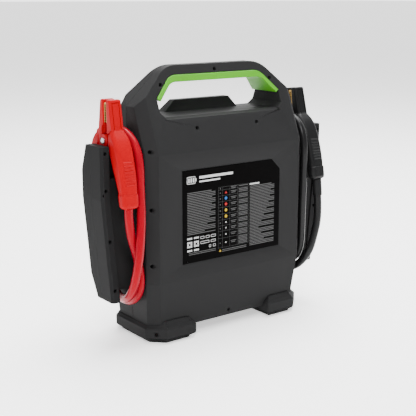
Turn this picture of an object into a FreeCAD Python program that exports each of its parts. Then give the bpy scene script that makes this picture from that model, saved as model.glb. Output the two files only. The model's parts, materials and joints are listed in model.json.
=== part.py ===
"""Portable jump starter pack with two parked booster clamps.

Every separate piece of the pack is one node.  Millimetres, +Z up, the pack stands on
z = 0, its label side faces -Y, its control side +Y, and x = 0 is the middle plane.
"""
import FreeCAD, Part
import math
import os

V = FreeCAD.Vector

# ---------------------------------------------------------------- driving dimensions
TOTAL_HEIGHT = 400.0        # floor to the top of the carrying handle
BODY_HALF_WIDTH = 146.0     # middle plane to the side wall
BODY_HALF_DEPTH = 60.2      # middle plane to the label face
BODY_BOTTOM = 17.4          # underside of the case, held off the floor by the feet
CORNER_CHAMFER = 14.5       # 45 degree cut on the four upright corners
CASE_WALL = 3.0

TAPER_TOP = 92.0            # below this height the case narrows
TAPER_IN_X = 6.5            # narrowing at the underside, each side
TAPER_IN_Y = 9.0
REAR_LEAN_HEIGHT = 119.5    # upright height of the leaning part of the label face
FRONT_LEAN_HEIGHT = 130.0
REAR_BEND = TOTAL_HEIGHT - REAR_LEAN_HEIGHT
FRONT_BEND = TOTAL_HEIGHT - FRONT_LEAN_HEIGHT
LEAN = 0.405                # millimetres in per millimetre up
SHOULDER_DROP = 55.2        # top of the handle down to the foot of the sloping shoulder
SHOULDER_Z = TOTAL_HEIGHT - SHOULDER_DROP
SHOULDER_TOP_X = 87.4       # where the shoulder line meets the top of the handle
HANDLE_CORNER_R = 45.0

# opening under the handle
HOLE_HALF_WIDTH = 113.0
GRIP_BAR_HEIGHT = 13.4      # top of the handle down to the top of the opening
HOLE_HEIGHT = 57.6
HOLE_SLOPE_HEIGHT = 30.8    # height of its sloping sides
HOLE_TOP = TOTAL_HEIGHT - GRIP_BAR_HEIGHT
HOLE_FLOOR = HOLE_TOP - HOLE_HEIGHT
HOLE_SIDE_TOP = HOLE_TOP - HOLE_SLOPE_HEIGHT
HOLE_TOP_HALF = 83.0
HOLE_TOP_CORNER_R = 25.0
HOLE_CORNER_CUT = 7.5
LEDGE_BEVEL = 7.0
HUMP_HALF_BASE = 68.0       # raised middle of the front rim
HUMP_HALF_TOP = 51.5
HUMP_RISE = 17.0            # its height over the floor of the opening
HUMP_TOP = HOLE_FLOOR + HUMP_RISE
HUMP_BACK_Y = 17.0

# green grip that lines the handle
GRIP_TOP_THICKNESS = 10.0
GRIP_SIDE_THICKNESS = 6.5
GRIP_PROUD = 0.8

# label on the rear face
LABEL_HALF_WIDTH = 91.8
LABEL_BOTTOM = 116.0
LABEL_TOP = 254.0
LABEL_CUT = 16.4
LABEL_THICKNESS = 0.6
LABEL_RECESS = 0.3

# case screws
WELL_R = 2.9
WELL_DEPTH = 4.0
BOSS_R = 5.4
SCREW_HEAD_R = 2.7
SCREW_HEAD_H = 2.2
SCREW_R = 1.5
SCREW_FIT = 0.03
SCREW_REACH = 14.0          # how far a case screw goes past the parting plane
CHAMFER_SCREW_Z = (284.7, 202.0, 119.6)
LEAN_SCREWS = ((55.5, TOTAL_HEIGHT - 88.5), (101.5, TOTAL_HEIGHT - 26.2))
TOP_SCREW_Z = TOTAL_HEIGHT - 8.6
BOTTOM_SCREW_Z = 25.5

# feet
FOOT_INNER_X = 70.0
FOOT_PROUD = 3.8            # how far the feet stand out of the label and control faces
FOOT_HALF_WIDTH = BODY_HALF_WIDTH
FOOT_HALF_DEPTH = BODY_HALF_DEPTH + FOOT_PROUD
FOOT_CUT = 23.0
FOOT_TOP = 22.5
FOOT_STEP_Z = 7.0
FOOT_STEP_IN = 2.2
FOOT_SHOE_IN = 5.8          # the sole is this much smaller than the foot, all round
FOOT_FLARE_TOP = 33.0
FOOT_GAP = 0.15
SOLE_TOP = 4.0
SOLE_GAP = 0.1

# side wings
WING_REACH = 60.5           # side wall out to the outer face of the wing
WING_OUT_X = BODY_HALF_WIDTH + WING_REACH
WING_THICKNESS = 13.2
WING_REAR_Y = -30.0
WING_FRONT_Y = 27.5
WING_TOP = 295.0
WING_BOTTOM = 68.0
WING_BEND_Z = 220.0
WING_LEAN_IN = 13.0         # how far the lower wing runs in towards the case
WING_CUT_Y = 16.0           # cut of its front corners
WING_CUT_TOP_Z = 47.0
WING_CUT_BOTTOM_Z = 45.0
WING_BEVEL = 3.5
WING_WALL = 2.4
WING_SCREW_Z = (285.7, 233.5, 160.0, 86.9)

# holster between case and wing
WEB_REAR_Y = -28.0
WEB_THICKNESS = 8.0
WEB_TOP = 250.0
BLOCK_BOTTOM = 86.5
BLOCK_TOP = 116.0
BLOCK_FRONT_Y = 10.0
HOLSTER_GAP = 0.1
BOLT_Y = (-20.0, 2.0)
BOLT_R = 2.0
BOLT_HEAD_R = 4.0
BOLT_HEAD_H = 3.0

# booster clamps
CLAMP_OUT = 31.4            # side wall out to the middle of a parked clamp
CLAMP_X = BODY_HALF_WIDTH + CLAMP_OUT
CLAMP_PIVOT_Y = -10.0
CLAMP_PIVOT_Z = 301.0
JAW_TIP = 57.0              # pivot to jaw tip
JAW_HALF_WIDTH = 10.0
HANDLE_HALF_WIDTH = 13.3
HANDLE_TAIL = 91.0          # pivot down to the end of the handle
HANDLE_DEPTH = 16.0
JAW_GAP = 3.2               # half of the gap between the two jaw backs
TOOTH_TIP = 0.9
INNER_CHEEK = (5.2, 8.7)
OUTER_CHEEK = (9.1, 12.6)
CHEEK_R = 9.5
RIVET_R = 2.5
RIVET_HEAD_R = 4.2
RIVET_FIT = 0.05
BLACK_CLAMP_TILT = 6.0      # degrees, the second clamp leans further towards the front

# booster cables
CABLE_R = 6.2
BOOT_HALF = 8.2
BOOT_Y = 37.5
BOOT_OUT = 12.0             # side wall out to the middle of the cable boot
BOOT_X = BODY_HALF_WIDTH + BOOT_OUT
BOOT_BOTTOM = 130.0
BOOT_TOP = 154.0
SLEEVE_R = 7.4
SLEEVE_LENGTH = 26.0

# front controls
SCREEN_HALF_WIDTH = 48.0
SCREEN_LOW = 12.0           # along the leaning face, from the bend
SCREEN_HIGH = 60.0
SCREEN_THICKNESS = 1.8
KNOB_R = 21.0
KNOB_HEIGHT = 14.0
KNOB_RECESS = 12.0
KNOB_MARGIN = 6.0           # finger room round the knob in its dish
KNOB_SHAFT_R = 4.0
LAMP_Z = (166.0, 190.0)
LAMP_TO_DISH = 2.0          # lamp up to the wall of the knob's dish
KNOB_Z = LAMP_Z[1] + LAMP_TO_DISH + CASE_WALL + KNOB_MARGIN + KNOB_R
BUTTON_X = 58.0
BUTTON_R = 10.0
BUTTON_TRAVEL = 2.0
BUTTON_STEM = 5.0           # inside of the case wall back to the end of the stem
CONTROL_BOARD_Y = 21.5
LAMP_HALF_WIDTH = 60.0
LAMP_THICKNESS = 4.0
DOOR_Z = (103.0, 147.0)
DOOR_HALF_WIDTH = 56.0
DOOR_THICKNESS = 2.5
HINGE_R = 2.4
HINGE_PIN_R = 1.0
PORT_FLOOR_Y = 46.0
FIT = 0.25                  # clearance round pieces that sit in an opening

nodes = {}


# ---------------------------------------------------------------- small helpers
def block(x0, x1, y0, y1, z0, z1):
    """Box between two corners."""
    return Part.makeBox(abs(x1 - x0), abs(y1 - y0), abs(z1 - z0),
                        V(min(x0, x1), min(y0, y1), min(z0, z1)))


def rod(x, y, z, radius, length, axis):
    """Cylinder that starts at a point and runs along an axis."""
    return Part.makeCylinder(radius, length, V(x, y, z), V(*axis))


def prism(points, start, end, plane):
    """Straight prism of a closed outline; plane names the two outline axes."""
    place = {
        "xz": (lambda a, b: V(a, start, b), V(0, end - start, 0)),
        "yz": (lambda a, b: V(start, a, b), V(end - start, 0, 0)),
        "xy": (lambda a, b: V(a, b, start), V(0, 0, end - start)),
    }[plane]
    corners = [place[0](a, b) for a, b in points]
    face = Part.Face(Part.makePolygon(corners + corners[:1]))
    return face.extrude(place[1])


def grown(points, gap):
    """Closed outline, listed anticlockwise, with every side moved out by gap."""
    count = len(points)
    moved = []
    for i in range(count):
        (ax, ay), (bx, by), (cx, cy) = points[i - 1], points[i], points[(i + 1) % count]
        d1 = math.hypot(bx - ax, by - ay)
        d2 = math.hypot(cx - bx, cy - by)
        n1 = ((by - ay) / d1, -(bx - ax) / d1)
        n2 = ((cy - by) / d2, -(cx - bx) / d2)
        k = gap / (1.0 + n1[0] * n2[0] + n1[1] * n2[1])
        moved.append((bx + k * (n1[0] + n2[0]), by + k * (n1[1] + n2[1])))
    return moved


def inside(shape, point, normal):
    """Keep the part of a shape behind a plane; normal points out."""
    size = 1500.0
    tool = Part.makeBox(size, size, size, V(-size / 2, -size / 2, 0))
    turn = FreeCAD.Rotation(V(0, 0, 1), V(*normal))
    tool.Placement = FreeCAD.Placement(V(*point), turn)
    return shape.cut(tool)


def fused(shapes):
    """One shape out of several."""
    first = shapes[0]
    rest = list(shapes[1:])
    return first.fuse(rest).removeSplitter() if rest else first


def group(shapes):
    """Separate solids kept together as one node."""
    return Part.makeCompound([s for shape in shapes for s in shape.Solids])


def mirrored(shape):
    """The same piece on the other side of the middle plane."""
    return shape.mirror(V(0, 0, 0), V(1, 0, 0))


def edges_near(shape, test):
    """Edges whose middle passes a test."""
    found = []
    for edge in shape.Edges:
        middle = edge.valueAt((edge.FirstParameter + edge.LastParameter) / 2)
        if test(middle, edge):
            found.append(edge)
    return found


def rear_y(z):
    """Outer label face at a height."""
    if z > REAR_BEND:
        return -BODY_HALF_DEPTH + LEAN * (z - REAR_BEND)
    if z < TAPER_TOP:
        return -BODY_HALF_DEPTH + TAPER_IN_Y * (TAPER_TOP - z) / (TAPER_TOP - BODY_BOTTOM)
    return -BODY_HALF_DEPTH


# ---------------------------------------------------------------- case
TAPER_X = TAPER_IN_X / (TAPER_TOP - BODY_BOTTOM)
TAPER_Y = TAPER_IN_Y / (TAPER_TOP - BODY_BOTTOM)
SHOULDER_RUN = BODY_HALF_WIDTH - SHOULDER_TOP_X
SHOULDER_RISE = TOTAL_HEIGHT - SHOULDER_Z


def case_block(inset):
    """Solid outer form of the case, every face moved in by inset."""
    span = 400.0
    solid = block(-span, span, -span, span, BODY_BOTTOM + inset, TOTAL_HEIGHT - inset)
    planes = []
    corner_x = BODY_HALF_WIDTH - CORNER_CHAMFER
    for sx in (-1, 1):
        planes.append(((sx * BODY_HALF_WIDTH, 0, 0), (sx, 0, 0)))
        planes.append(((sx * BODY_HALF_WIDTH, 0, TAPER_TOP), (sx, 0, -TAPER_X)))
        planes.append(((sx * BODY_HALF_WIDTH, 0, SHOULDER_Z),
                       (sx * SHOULDER_RISE, 0, SHOULDER_RUN)))
        for sy, bend in ((-1, REAR_BEND), (1, FRONT_BEND)):
            corner = (sx * corner_x, sy * BODY_HALF_DEPTH)
            planes.append(((*corner, 0), (sx, sy, 0)))
            planes.append(((*corner, bend), (sx, sy, LEAN)))
            planes.append(((*corner, TAPER_TOP), (sx, sy, -TAPER_X - TAPER_Y)))
    for sy, bend in ((-1, REAR_BEND), (1, FRONT_BEND)):
        planes.append(((0, sy * BODY_HALF_DEPTH, 0), (0, sy, 0)))
        planes.append(((0, sy * BODY_HALF_DEPTH, bend), (0, sy, LEAN)))
        planes.append(((0, sy * BODY_HALF_DEPTH, TAPER_TOP), (0, sy, -TAPER_Y)))
    for point, normal in planes:
        unit = V(*normal).normalize()
        moved = V(*point) - unit * inset
        solid = inside(solid, tuple(moved), tuple(unit))
    def corner(m, e):
        return m.z > TOTAL_HEIGHT - inset - 1.0 and abs(abs(m.x) - SHOULDER_TOP_X) < 6 + inset \
            and abs(m.y) < 5 and e.BoundBox.XLength < 0.01
    return solid.makeFillet(HANDLE_CORNER_R - inset, edges_near(solid, corner))


def hole_outline(front):
    """Outline of the handle opening, in x and z, anticlockwise seen from -Y."""
    floor = [(-HOLE_HALF_WIDTH, HOLE_FLOOR + HOLE_CORNER_CUT),
             (-HOLE_HALF_WIDTH + HOLE_CORNER_CUT, HOLE_FLOOR)]
    if front:
        floor += [(-HUMP_HALF_BASE, HOLE_FLOOR), (-HUMP_HALF_TOP, HUMP_TOP),
                  (HUMP_HALF_TOP, HUMP_TOP), (HUMP_HALF_BASE, HOLE_FLOOR)]
    floor += [(HOLE_HALF_WIDTH - HOLE_CORNER_CUT, HOLE_FLOOR),
              (HOLE_HALF_WIDTH, HOLE_FLOOR + HOLE_CORNER_CUT)]
    return floor + [(HOLE_HALF_WIDTH, HOLE_SIDE_TOP), (HOLE_TOP_HALF, HOLE_TOP),
                    (-HOLE_TOP_HALF, HOLE_TOP), (-HOLE_HALF_WIDTH, HOLE_SIDE_TOP)]


def hole_solid(outset):
    """Everything the handle opening removes, grown by outset."""
    deep = 200.0
    back = prism(grown(hole_outline(False), outset), -deep, HUMP_BACK_Y + outset, "xz")
    front = prism(grown(hole_outline(True), outset), -deep, deep, "xz")
    solid = fused([back, front])
    def corner(m, e):
        return abs(m.z - HOLE_TOP - outset) < 0.5 and abs(abs(m.x) - HOLE_TOP_HALF) < 4 + outset \
            and e.BoundBox.XLength < 0.01
    return solid.makeFillet(HOLE_TOP_CORNER_R + outset, edges_near(solid, corner))


def case_screw_spots():
    """x and z of every screw that goes in from the label side."""
    middle = BODY_HALF_WIDTH - CORNER_CHAMFER / 2
    spots = [(s * middle, z) for s in (-1, 1) for z in CHAMFER_SCREW_Z]
    spots += [(s * x, z) for s in (-1, 1) for x, z in LEAN_SCREWS]
    return spots + [(0.0, TOP_SCREW_Z), (0.0, BOTTOM_SCREW_Z)]


def well_mouth(x, z):
    """Outer surface where a screw well opens."""
    over = abs(x) - (BODY_HALF_WIDTH - CORNER_CHAMFER)
    return rear_y(z) + max(0.0, over)


def case_screw(x, z):
    """Pan-head screw with a cross slot, head towards -Y."""
    seat = well_mouth(x, z) + WELL_DEPTH + SCREW_HEAD_H
    head = rod(x, seat - SCREW_HEAD_H, z, SCREW_HEAD_R, SCREW_HEAD_H, (0, 1, 0))
    shank = rod(x, seat, z, SCREW_R, SCREW_REACH - seat - 1.0, (0, 1, 0))
    slot = [block(x - a, x + a, seat - SCREW_HEAD_H - 1, seat - SCREW_HEAD_H + 1.1, z - b, z + b)
            for a, b in ((1.8, 0.35), (0.35, 1.8))]
    return head.fuse(shank).cut(fused(slot)).removeSplitter()


def make_case():
    """Rear and front shells with their screw bosses, and the screws."""
    outer = case_block(0.0).cut(hole_solid(0.0))
    cavity = case_block(CASE_WALL).cut(hole_solid(CASE_WALL))
    shell = outer.cut(cavity)
    deep = 200.0
    rear_half = block(-300, 300, -deep, 0, 0, 500)
    front_half = block(-300, 300, 0, deep, 0, 500)
    rear = shell.common(rear_half)
    front = shell.common(front_half)
    rear_bosses, front_bosses, wells, pilots, screws = [], [], [], [], []
    for x, z in case_screw_spots():
        mouth = well_mouth(x, z)
        seat = mouth + WELL_DEPTH + SCREW_HEAD_H
        rear_bosses.append(rod(x, -deep, z, BOSS_R, deep, (0, 1, 0)))
        front_bosses.append(rod(x, 0, z, BOSS_R, deep, (0, 1, 0)))
        wells.append(rod(x, -deep, z, WELL_R, deep + seat, (0, 1, 0)))
        wells.append(rod(x, -deep, z, SCREW_R + SCREW_FIT, deep + 1, (0, 1, 0)))
        pilots.append(rod(x, -1, z, SCREW_R + SCREW_FIT, SCREW_REACH + 1, (0, 1, 0)))
        screws.append(case_screw(x, z))
    rear = rear.fuse([b.common(outer) for b in rear_bosses]).cut(Part.makeCompound(wells))
    front = front.fuse([b.common(outer) for b in front_bosses]).cut(Part.makeCompound(pilots))
    bevel = ledge_bevel()
    rear = rear.cut(bevel)
    nodes["case_screws"] = group(screws)
    return rear, front, outer


def ledge_bevel():
    """Bevel along the rear lower edge of the handle opening."""
    y = rear_y(HOLE_FLOOR)
    half = HOLE_HALF_WIDTH - HOLE_CORNER_CUT
    low = [(y - 3.0, HOLE_FLOOR + 3.0), (y - 3.0, HOLE_FLOOR - 3.2), (y + 1.0, HOLE_FLOOR - 2.2),
           (y + LEDGE_BEVEL, HOLE_FLOOR + 0.01), (y + LEDGE_BEVEL, HOLE_FLOOR + 3.0)]
    return prism(low, -half, half, "yz")


def make_grip():
    """Green sleeve that lines the top and the sloping sides of the opening."""
    outline = grown(hole_outline(False), -FIT / 2)
    side = GRIP_SIDE_THICKNESS
    slope = math.atan2(HOLE_TOP - HOLE_SIDE_TOP, HOLE_HALF_WIDTH - HOLE_TOP_HALF)
    top_z = HOLE_TOP - GRIP_TOP_THICKNESS
    reach = HOLE_HALF_WIDTH - side / math.sin(slope)
    tan = math.tan(slope)
    top_x = reach - (top_z - HOLE_SIDE_TOP) / tan
    low_x = reach + (HOLE_SIDE_TOP - HOLE_FLOOR + 20) / tan
    inner = [(-low_x, HOLE_FLOOR - 20), (low_x, HOLE_FLOOR - 20), (top_x, top_z), (-top_x, top_z)]
    deep = 200.0
    outer_prism = prism(outline, -deep, deep, "xz")
    def outer_corner(m, e):
        return m.z > HOLE_TOP - 1 and abs(abs(m.x) - HOLE_TOP_HALF) < 3 and e.BoundBox.XLength < 0.01
    outer_prism = outer_prism.makeFillet(HOLE_TOP_CORNER_R, edges_near(outer_prism, outer_corner))
    inner_prism = prism(inner, -deep, deep, "xz")
    def inner_corner(m, e):
        return m.z > top_z - 1 and e.BoundBox.XLength < 0.01
    inner_prism = inner_prism.makeFillet(HOLE_TOP_CORNER_R - 4, edges_near(inner_prism, inner_corner))
    sleeve = outer_prism.cut(inner_prism)
    for s in (-1, 1):
        end = (s * HOLE_HALF_WIDTH, 0, HOLE_SIDE_TOP)
        sleeve = inside(sleeve, end, (s * 0.75, 0, -1.0))
    for sy, bend in ((-1, REAR_BEND), (1, FRONT_BEND)):
        unit = V(0, sy, LEAN).normalize()
        point = V(0, sy * BODY_HALF_DEPTH, bend) + unit * GRIP_PROUD
        sleeve = inside(sleeve, tuple(point), tuple(unit))
    return sleeve


# ---------------------------------------------------------------- feet
def foot_outline(inset):
    """Plan of the left foot seen from above, moved in by inset."""
    hw, hd = FOOT_HALF_WIDTH, FOOT_HALF_DEPTH
    cut = FOOT_CUT
    points = [(-hw, -hd + cut), (-hw + cut, -hd), (-FOOT_INNER_X, -hd), (-FOOT_INNER_X, hd),
              (-hw + cut, hd), (-hw, hd - cut)]
    return grown(points, -inset)


def make_feet(case_form):
    """Moulded corner foot with its rubber sole, on each side, and its screws."""
    def loft(lower, z0, upper, z1):
        wires = []
        for outline, z in ((lower, z0), (upper, z1)):
            corners = [V(x, y, z) for x, y in outline]
            wires.append(Part.makePolygon(corners + corners[:1]))
        return Part.makeLoft(wires, True, True)
    layers = [
        loft(foot_outline(FOOT_SHOE_IN), SOLE_TOP + SOLE_GAP, foot_outline(FOOT_STEP_IN), FOOT_STEP_Z),
        loft(foot_outline(FOOT_STEP_IN * 0.5), FOOT_STEP_Z, foot_outline(0.0), FOOT_STEP_Z + 2.0),
        loft(foot_outline(0.0), FOOT_STEP_Z + 2.0, foot_outline(0.0), FOOT_TOP),
        loft(foot_outline(0.0), FOOT_TOP, foot_outline(4.4), FOOT_TOP + 3.6),
        loft(foot_outline(4.4), FOOT_TOP + 3.6, foot_outline(9.0), FOOT_FLARE_TOP),
    ]
    foot = fused(layers).cut(case_form)
    foot = max(foot.Solids, key=lambda s: s.Volume)
    sole = loft(foot_outline(FOOT_SHOE_IN + 3.0), 0.0, foot_outline(FOOT_SHOE_IN + 1.2), SOLE_TOP)
    grooves = [block(-FOOT_HALF_WIDTH, -FOOT_INNER_X, y - 1.2, y + 1.2, -1, 1.4)
               for y in (-36, -18, 0, 18, 36)]
    sole = sole.cut(Part.makeCompound(grooves))
    screws = []
    turn = 1 / math.sqrt(2)
    for sy in (-1, 1):
        mid = V(-FOOT_HALF_WIDTH + FOOT_CUT / 2, sy * (FOOT_HALF_DEPTH - FOOT_CUT / 2), 14.8)
        into = V(turn, -sy * turn, 0)
        well = Part.makeCylinder(WELL_R, WELL_DEPTH + 2, mid - into * 2, into)
        seat = mid + into * WELL_DEPTH
        foot = foot.cut(well)
        head = Part.makeCylinder(SCREW_HEAD_R, SCREW_HEAD_H, seat - into * SCREW_HEAD_H, into)
        shank = Part.makeCylinder(SCREW_R, 9.0, seat, into)
        foot = foot.cut(Part.makeCylinder(SCREW_R + SCREW_FIT, 9.5, seat, into))
        screws.append(head.fuse(shank).removeSplitter())
    return foot, sole, screws


# ---------------------------------------------------------------- wings and holsters
def wing_form(inset):
    """Left wing blade, every face moved in by inset."""
    out, thick = WING_OUT_X, WING_THICKNESS
    profile = [(-out + WING_LEAN_IN, WING_BOTTOM), (-out + thick + WING_LEAN_IN, WING_BOTTOM),
               (-out + thick, WING_BEND_Z), (-out + thick, WING_TOP),
               (-out, WING_TOP), (-out, WING_BEND_Z)]
    side = [(WING_REAR_Y, WING_BOTTOM), (WING_FRONT_Y - WING_CUT_Y, WING_BOTTOM),
            (WING_FRONT_Y, WING_BOTTOM + WING_CUT_BOTTOM_Z),
            (WING_FRONT_Y, WING_TOP - WING_CUT_TOP_Z), (WING_FRONT_Y - WING_CUT_Y, WING_TOP),
            (WING_REAR_Y, WING_TOP)]
    blade = prism(grown(profile, -inset), -80, 80, "xz")
    blade = blade.common(prism(grown(side, -inset), -300, -100, "yz"))
    lean = WING_LEAN_IN / (WING_BEND_Z - WING_BOTTOM)
    for sy, edge_y in ((-1, WING_REAR_Y), (1, WING_FRONT_Y)):
        for normal in ((-1, sy, 0), (-1, sy, -lean)):
            unit = V(*normal).normalize()
            point = V(-out + WING_BEVEL, edge_y, WING_BEND_Z) - unit * inset
            blade = inside(blade, tuple(point), tuple(unit))
    return blade


def wing_middle_x(z):
    """Middle of the wing's thickness at a height, left side."""
    drop = max(0.0, WING_BEND_Z - z) / (WING_BEND_Z - WING_BOTTOM)
    return -WING_OUT_X + WING_THICKNESS / 2 + WING_LEAN_IN * drop


def make_wing():
    """Rear and front halves of the left wing, and its four screws."""
    outer = wing_form(0.0)
    hollow = outer.cut(wing_form(WING_WALL))
    rear = hollow.common(block(-300, -100, -80, 0, 0, 400))
    front = hollow.common(block(-300, -100, 0, 80, 0, 400))
    boss_r = (WING_THICKNESS - 2 * WING_WALL) / 2 + 0.2
    screws = []
    for z in WING_SCREW_Z:
        x = wing_middle_x(z) + (0.6 if z > WING_BEND_Z else 0.0)
        seat = WING_REAR_Y + WELL_DEPTH + SCREW_HEAD_H
        rear = rear.fuse(rod(x, WING_REAR_Y, z, boss_r, -WING_REAR_Y, (0, 1, 0)).common(outer))
        front = front.fuse(rod(x, 0, z, boss_r, SCREW_REACH + 2, (0, 1, 0)).common(outer))
        well = rod(x, WING_REAR_Y - 5, z, WELL_R - 0.2, 5 + WELL_DEPTH + SCREW_HEAD_H, (0, 1, 0))
        hole = rod(x, WING_REAR_Y, z, SCREW_R + SCREW_FIT, SCREW_REACH - WING_REAR_Y, (0, 1, 0))
        rear = rear.cut(well).cut(hole)
        front = front.cut(hole)
        head = rod(x, seat - SCREW_HEAD_H, z, SCREW_HEAD_R - 0.3, SCREW_HEAD_H, (0, 1, 0))
        shank = rod(x, seat, z, SCREW_R, SCREW_REACH - seat - 1.0, (0, 1, 0))
        slot = [block(x - a, x + a, seat - SCREW_HEAD_H - 1, seat - SCREW_HEAD_H + 1.0,
                      z - b, z + b) for a, b in ((1.6, 0.3), (0.3, 1.6))]
        screws.append(head.fuse(shank).cut(fused(slot)).removeSplitter())
    return rear, front, screws


def make_holster(case_form):
    """Bridge from the case to the left wing that a parked clamp straddles."""
    web_front = WEB_REAR_Y + WEB_THICKNESS
    left, right = -WING_OUT_X, -BODY_HALF_WIDTH + 10
    web = block(left, right, WEB_REAR_Y, web_front, BLOCK_BOTTOM, WEB_TOP)
    base = block(left, right, WEB_REAR_Y, BLOCK_FRONT_Y, BLOCK_BOTTOM, BLOCK_TOP)
    base = base.makeFillet(8.0, edges_near(
        base, lambda m, e: abs(m.z - BLOCK_BOTTOM) < 0.1 and e.BoundBox.XLength > 20))
    holster = web.fuse(base).removeSplitter()
    wall = -WING_OUT_X + WING_THICKNESS + HOLSTER_GAP
    lean = WING_LEAN_IN / (WING_BEND_Z - WING_BOTTOM)
    beside_wing = [(wall + lean * WING_BEND_Z, 0.0), (0.0, 0.0), (0.0, 400.0), (wall, 400.0),
                   (wall, WING_BEND_Z)]
    holster = holster.common(prism(beside_wing, -80, 80, "xz")).cut(case_form)
    bolts = []
    for y in BOLT_Y:
        z = (BLOCK_BOTTOM + BLOCK_TOP) / 2
        wall_x = -BODY_HALF_WIDTH + CASE_WALL
        head = rod(wall_x, y, z, BOLT_HEAD_R, BOLT_HEAD_H, (1, 0, 0))
        shank = rod(wall_x, y, z, BOLT_R, 18.0, (-1, 0, 0))
        bolts.append(head.fuse(shank).removeSplitter())
        holster = holster.cut(rod(wall_x, y, z, BOLT_R + SCREW_FIT, 19.0, (-1, 0, 0)))
    return holster, bolts


def bolt_holes():
    """Holes in the left side wall of the case for the holster bolts."""
    z = (BLOCK_BOTTOM + BLOCK_TOP) / 2
    return [rod(-BODY_HALF_WIDTH - 5, y, z, BOLT_R + SCREW_FIT, 12.0, (1, 0, 0))
            for y in BOLT_Y]


# ---------------------------------------------------------------- booster clamps
def clamp_outlines():
    """Side outlines of one clamp half about its pivot: jaw, cheek web and handle."""
    jaw = [(-JAW_GAP, JAW_TIP), (-15.0, JAW_TIP), (-19.0, 14.0), (-12.0, 13.0), (-9.5, 17.0),
           (-JAW_GAP, 22.0)]
    web = [(-JAW_GAP, 22.0), (-19.0, 16.0), (-19.4, 10.0), (-33.0, -9.0), (-36.0, -22.0),
           (-24.0, -30.0), (-9.0, -8.0), (0.0, -CHEEK_R), (0.0, 4.0)]
    d = HANDLE_DEPTH
    handle = [(-17.6, 13.5), (-19.4, 13.0), (-33.5, -7.0), (-48.0, -52.0), (-52.0, -HANDLE_TAIL),
              (-52.0 + d, -HANDLE_TAIL), (-48.0 + d, -55.0), (-20.5, -21.0), (-15.5, -6.0)]
    return jaw, web, handle


def clamp_half(cheek):
    """Half of a clamp about the pivot at the origin: jaw and handle on the -Y side."""
    jaw, web, handle = clamp_outlines()
    low, high = cheek
    jaw_solid = prism(jaw, -JAW_HALF_WIDTH, JAW_HALF_WIDTH, "yz")
    handle_solid = prism(handle, -HANDLE_HALF_WIDTH, HANDLE_HALF_WIDTH, "yz")
    def outer_long(m, e):
        return abs(abs(m.x) - HANDLE_HALF_WIDTH) < 0.01 and m.z < -12 and m.z > -HANDLE_TAIL + 1
    handle_solid = handle_solid.makeFillet(5.0, edges_near(handle_solid, outer_long))
    cheeks = []
    for s in (-1, 1):
        x0, x1 = sorted((s * low, s * high))
        cheeks.append(prism(web, x0, x1, "yz"))
        cheeks.append(rod(x0, 0, 0, CHEEK_R, x1 - x0, (1, 0, 0)))
    solid = fused([jaw_solid, handle_solid] + cheeks)
    bore = rod(-30, 0, 0, RIVET_R + RIVET_FIT, 60, (1, 0, 0))
    return solid.cut(bore)


def clamp_teeth():
    """Brass tooth strip of the -Y jaw, with a saw edge along the gap."""
    low, high, pitch = 25.0, JAW_TIP - 1.5, 3.4
    count = int((high - low) / pitch)
    outline = [(-JAW_GAP, low), (-TOOTH_TIP - 1.3, low)]
    for i in range(count):
        z = low + i * pitch
        outline += [(-TOOTH_TIP, z + pitch * 0.5), (-TOOTH_TIP - 1.3, z + pitch)]
    outline += [(-JAW_GAP, low + count * pitch)]
    return prism(outline, -JAW_HALF_WIDTH + 1.5, JAW_HALF_WIDTH - 1.5, "yz")


def torsion_spring():
    """Coil round the rivet with one leg along the cable-side handle."""
    coil = []
    wire_r, mean_r = 0.9, 4.6
    for i in range(4):
        ring = Part.makeTorus(mean_r, wire_r, V(-3.0 + 2.0 * i, 0, 0), V(1, 0, 0))
        coil.append(ring)
    leg = rod(-3.0, -mean_r, 0, wire_r, 15.0, (0, -0.25, -1))
    bars = block(-3.2, 3.2, -mean_r - 0.4, -mean_r + 0.4, -0.5, 0.5)
    return fused(coil + [leg, bars])


def make_clamp(place, colour):
    """All pieces of one clamp, placed by a function from pivot frame to pack frame."""
    cable_half = clamp_half(INNER_CHEEK)
    lever_half = clamp_half(OUTER_CHEEK).mirror(V(0, 0, 0), V(0, 1, 0))
    teeth = clamp_teeth()
    outer = OUTER_CHEEK[1]
    rivet = rod(-outer - 0.2, 0, 0, RIVET_R, 2 * outer + 0.4, (1, 0, 0))
    for s in (-1, 1):
        rivet = rivet.fuse(rod(s * (outer + 0.2), 0, 0, RIVET_HEAD_R, 1.6, (s, 0, 0)))
    pieces = {
        "clamp_cable_half": cable_half,
        "clamp_lever_half": lever_half,
        "clamp_cable_teeth": teeth,
        "clamp_lever_teeth": teeth.mirror(V(0, 0, 0), V(0, 1, 0)),
        "clamp_rivet": rivet.removeSplitter(),
        "clamp_spring": torsion_spring(),
    }
    for name, shape in pieces.items():
        nodes[colour + "_" + name] = place(shape)


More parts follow.
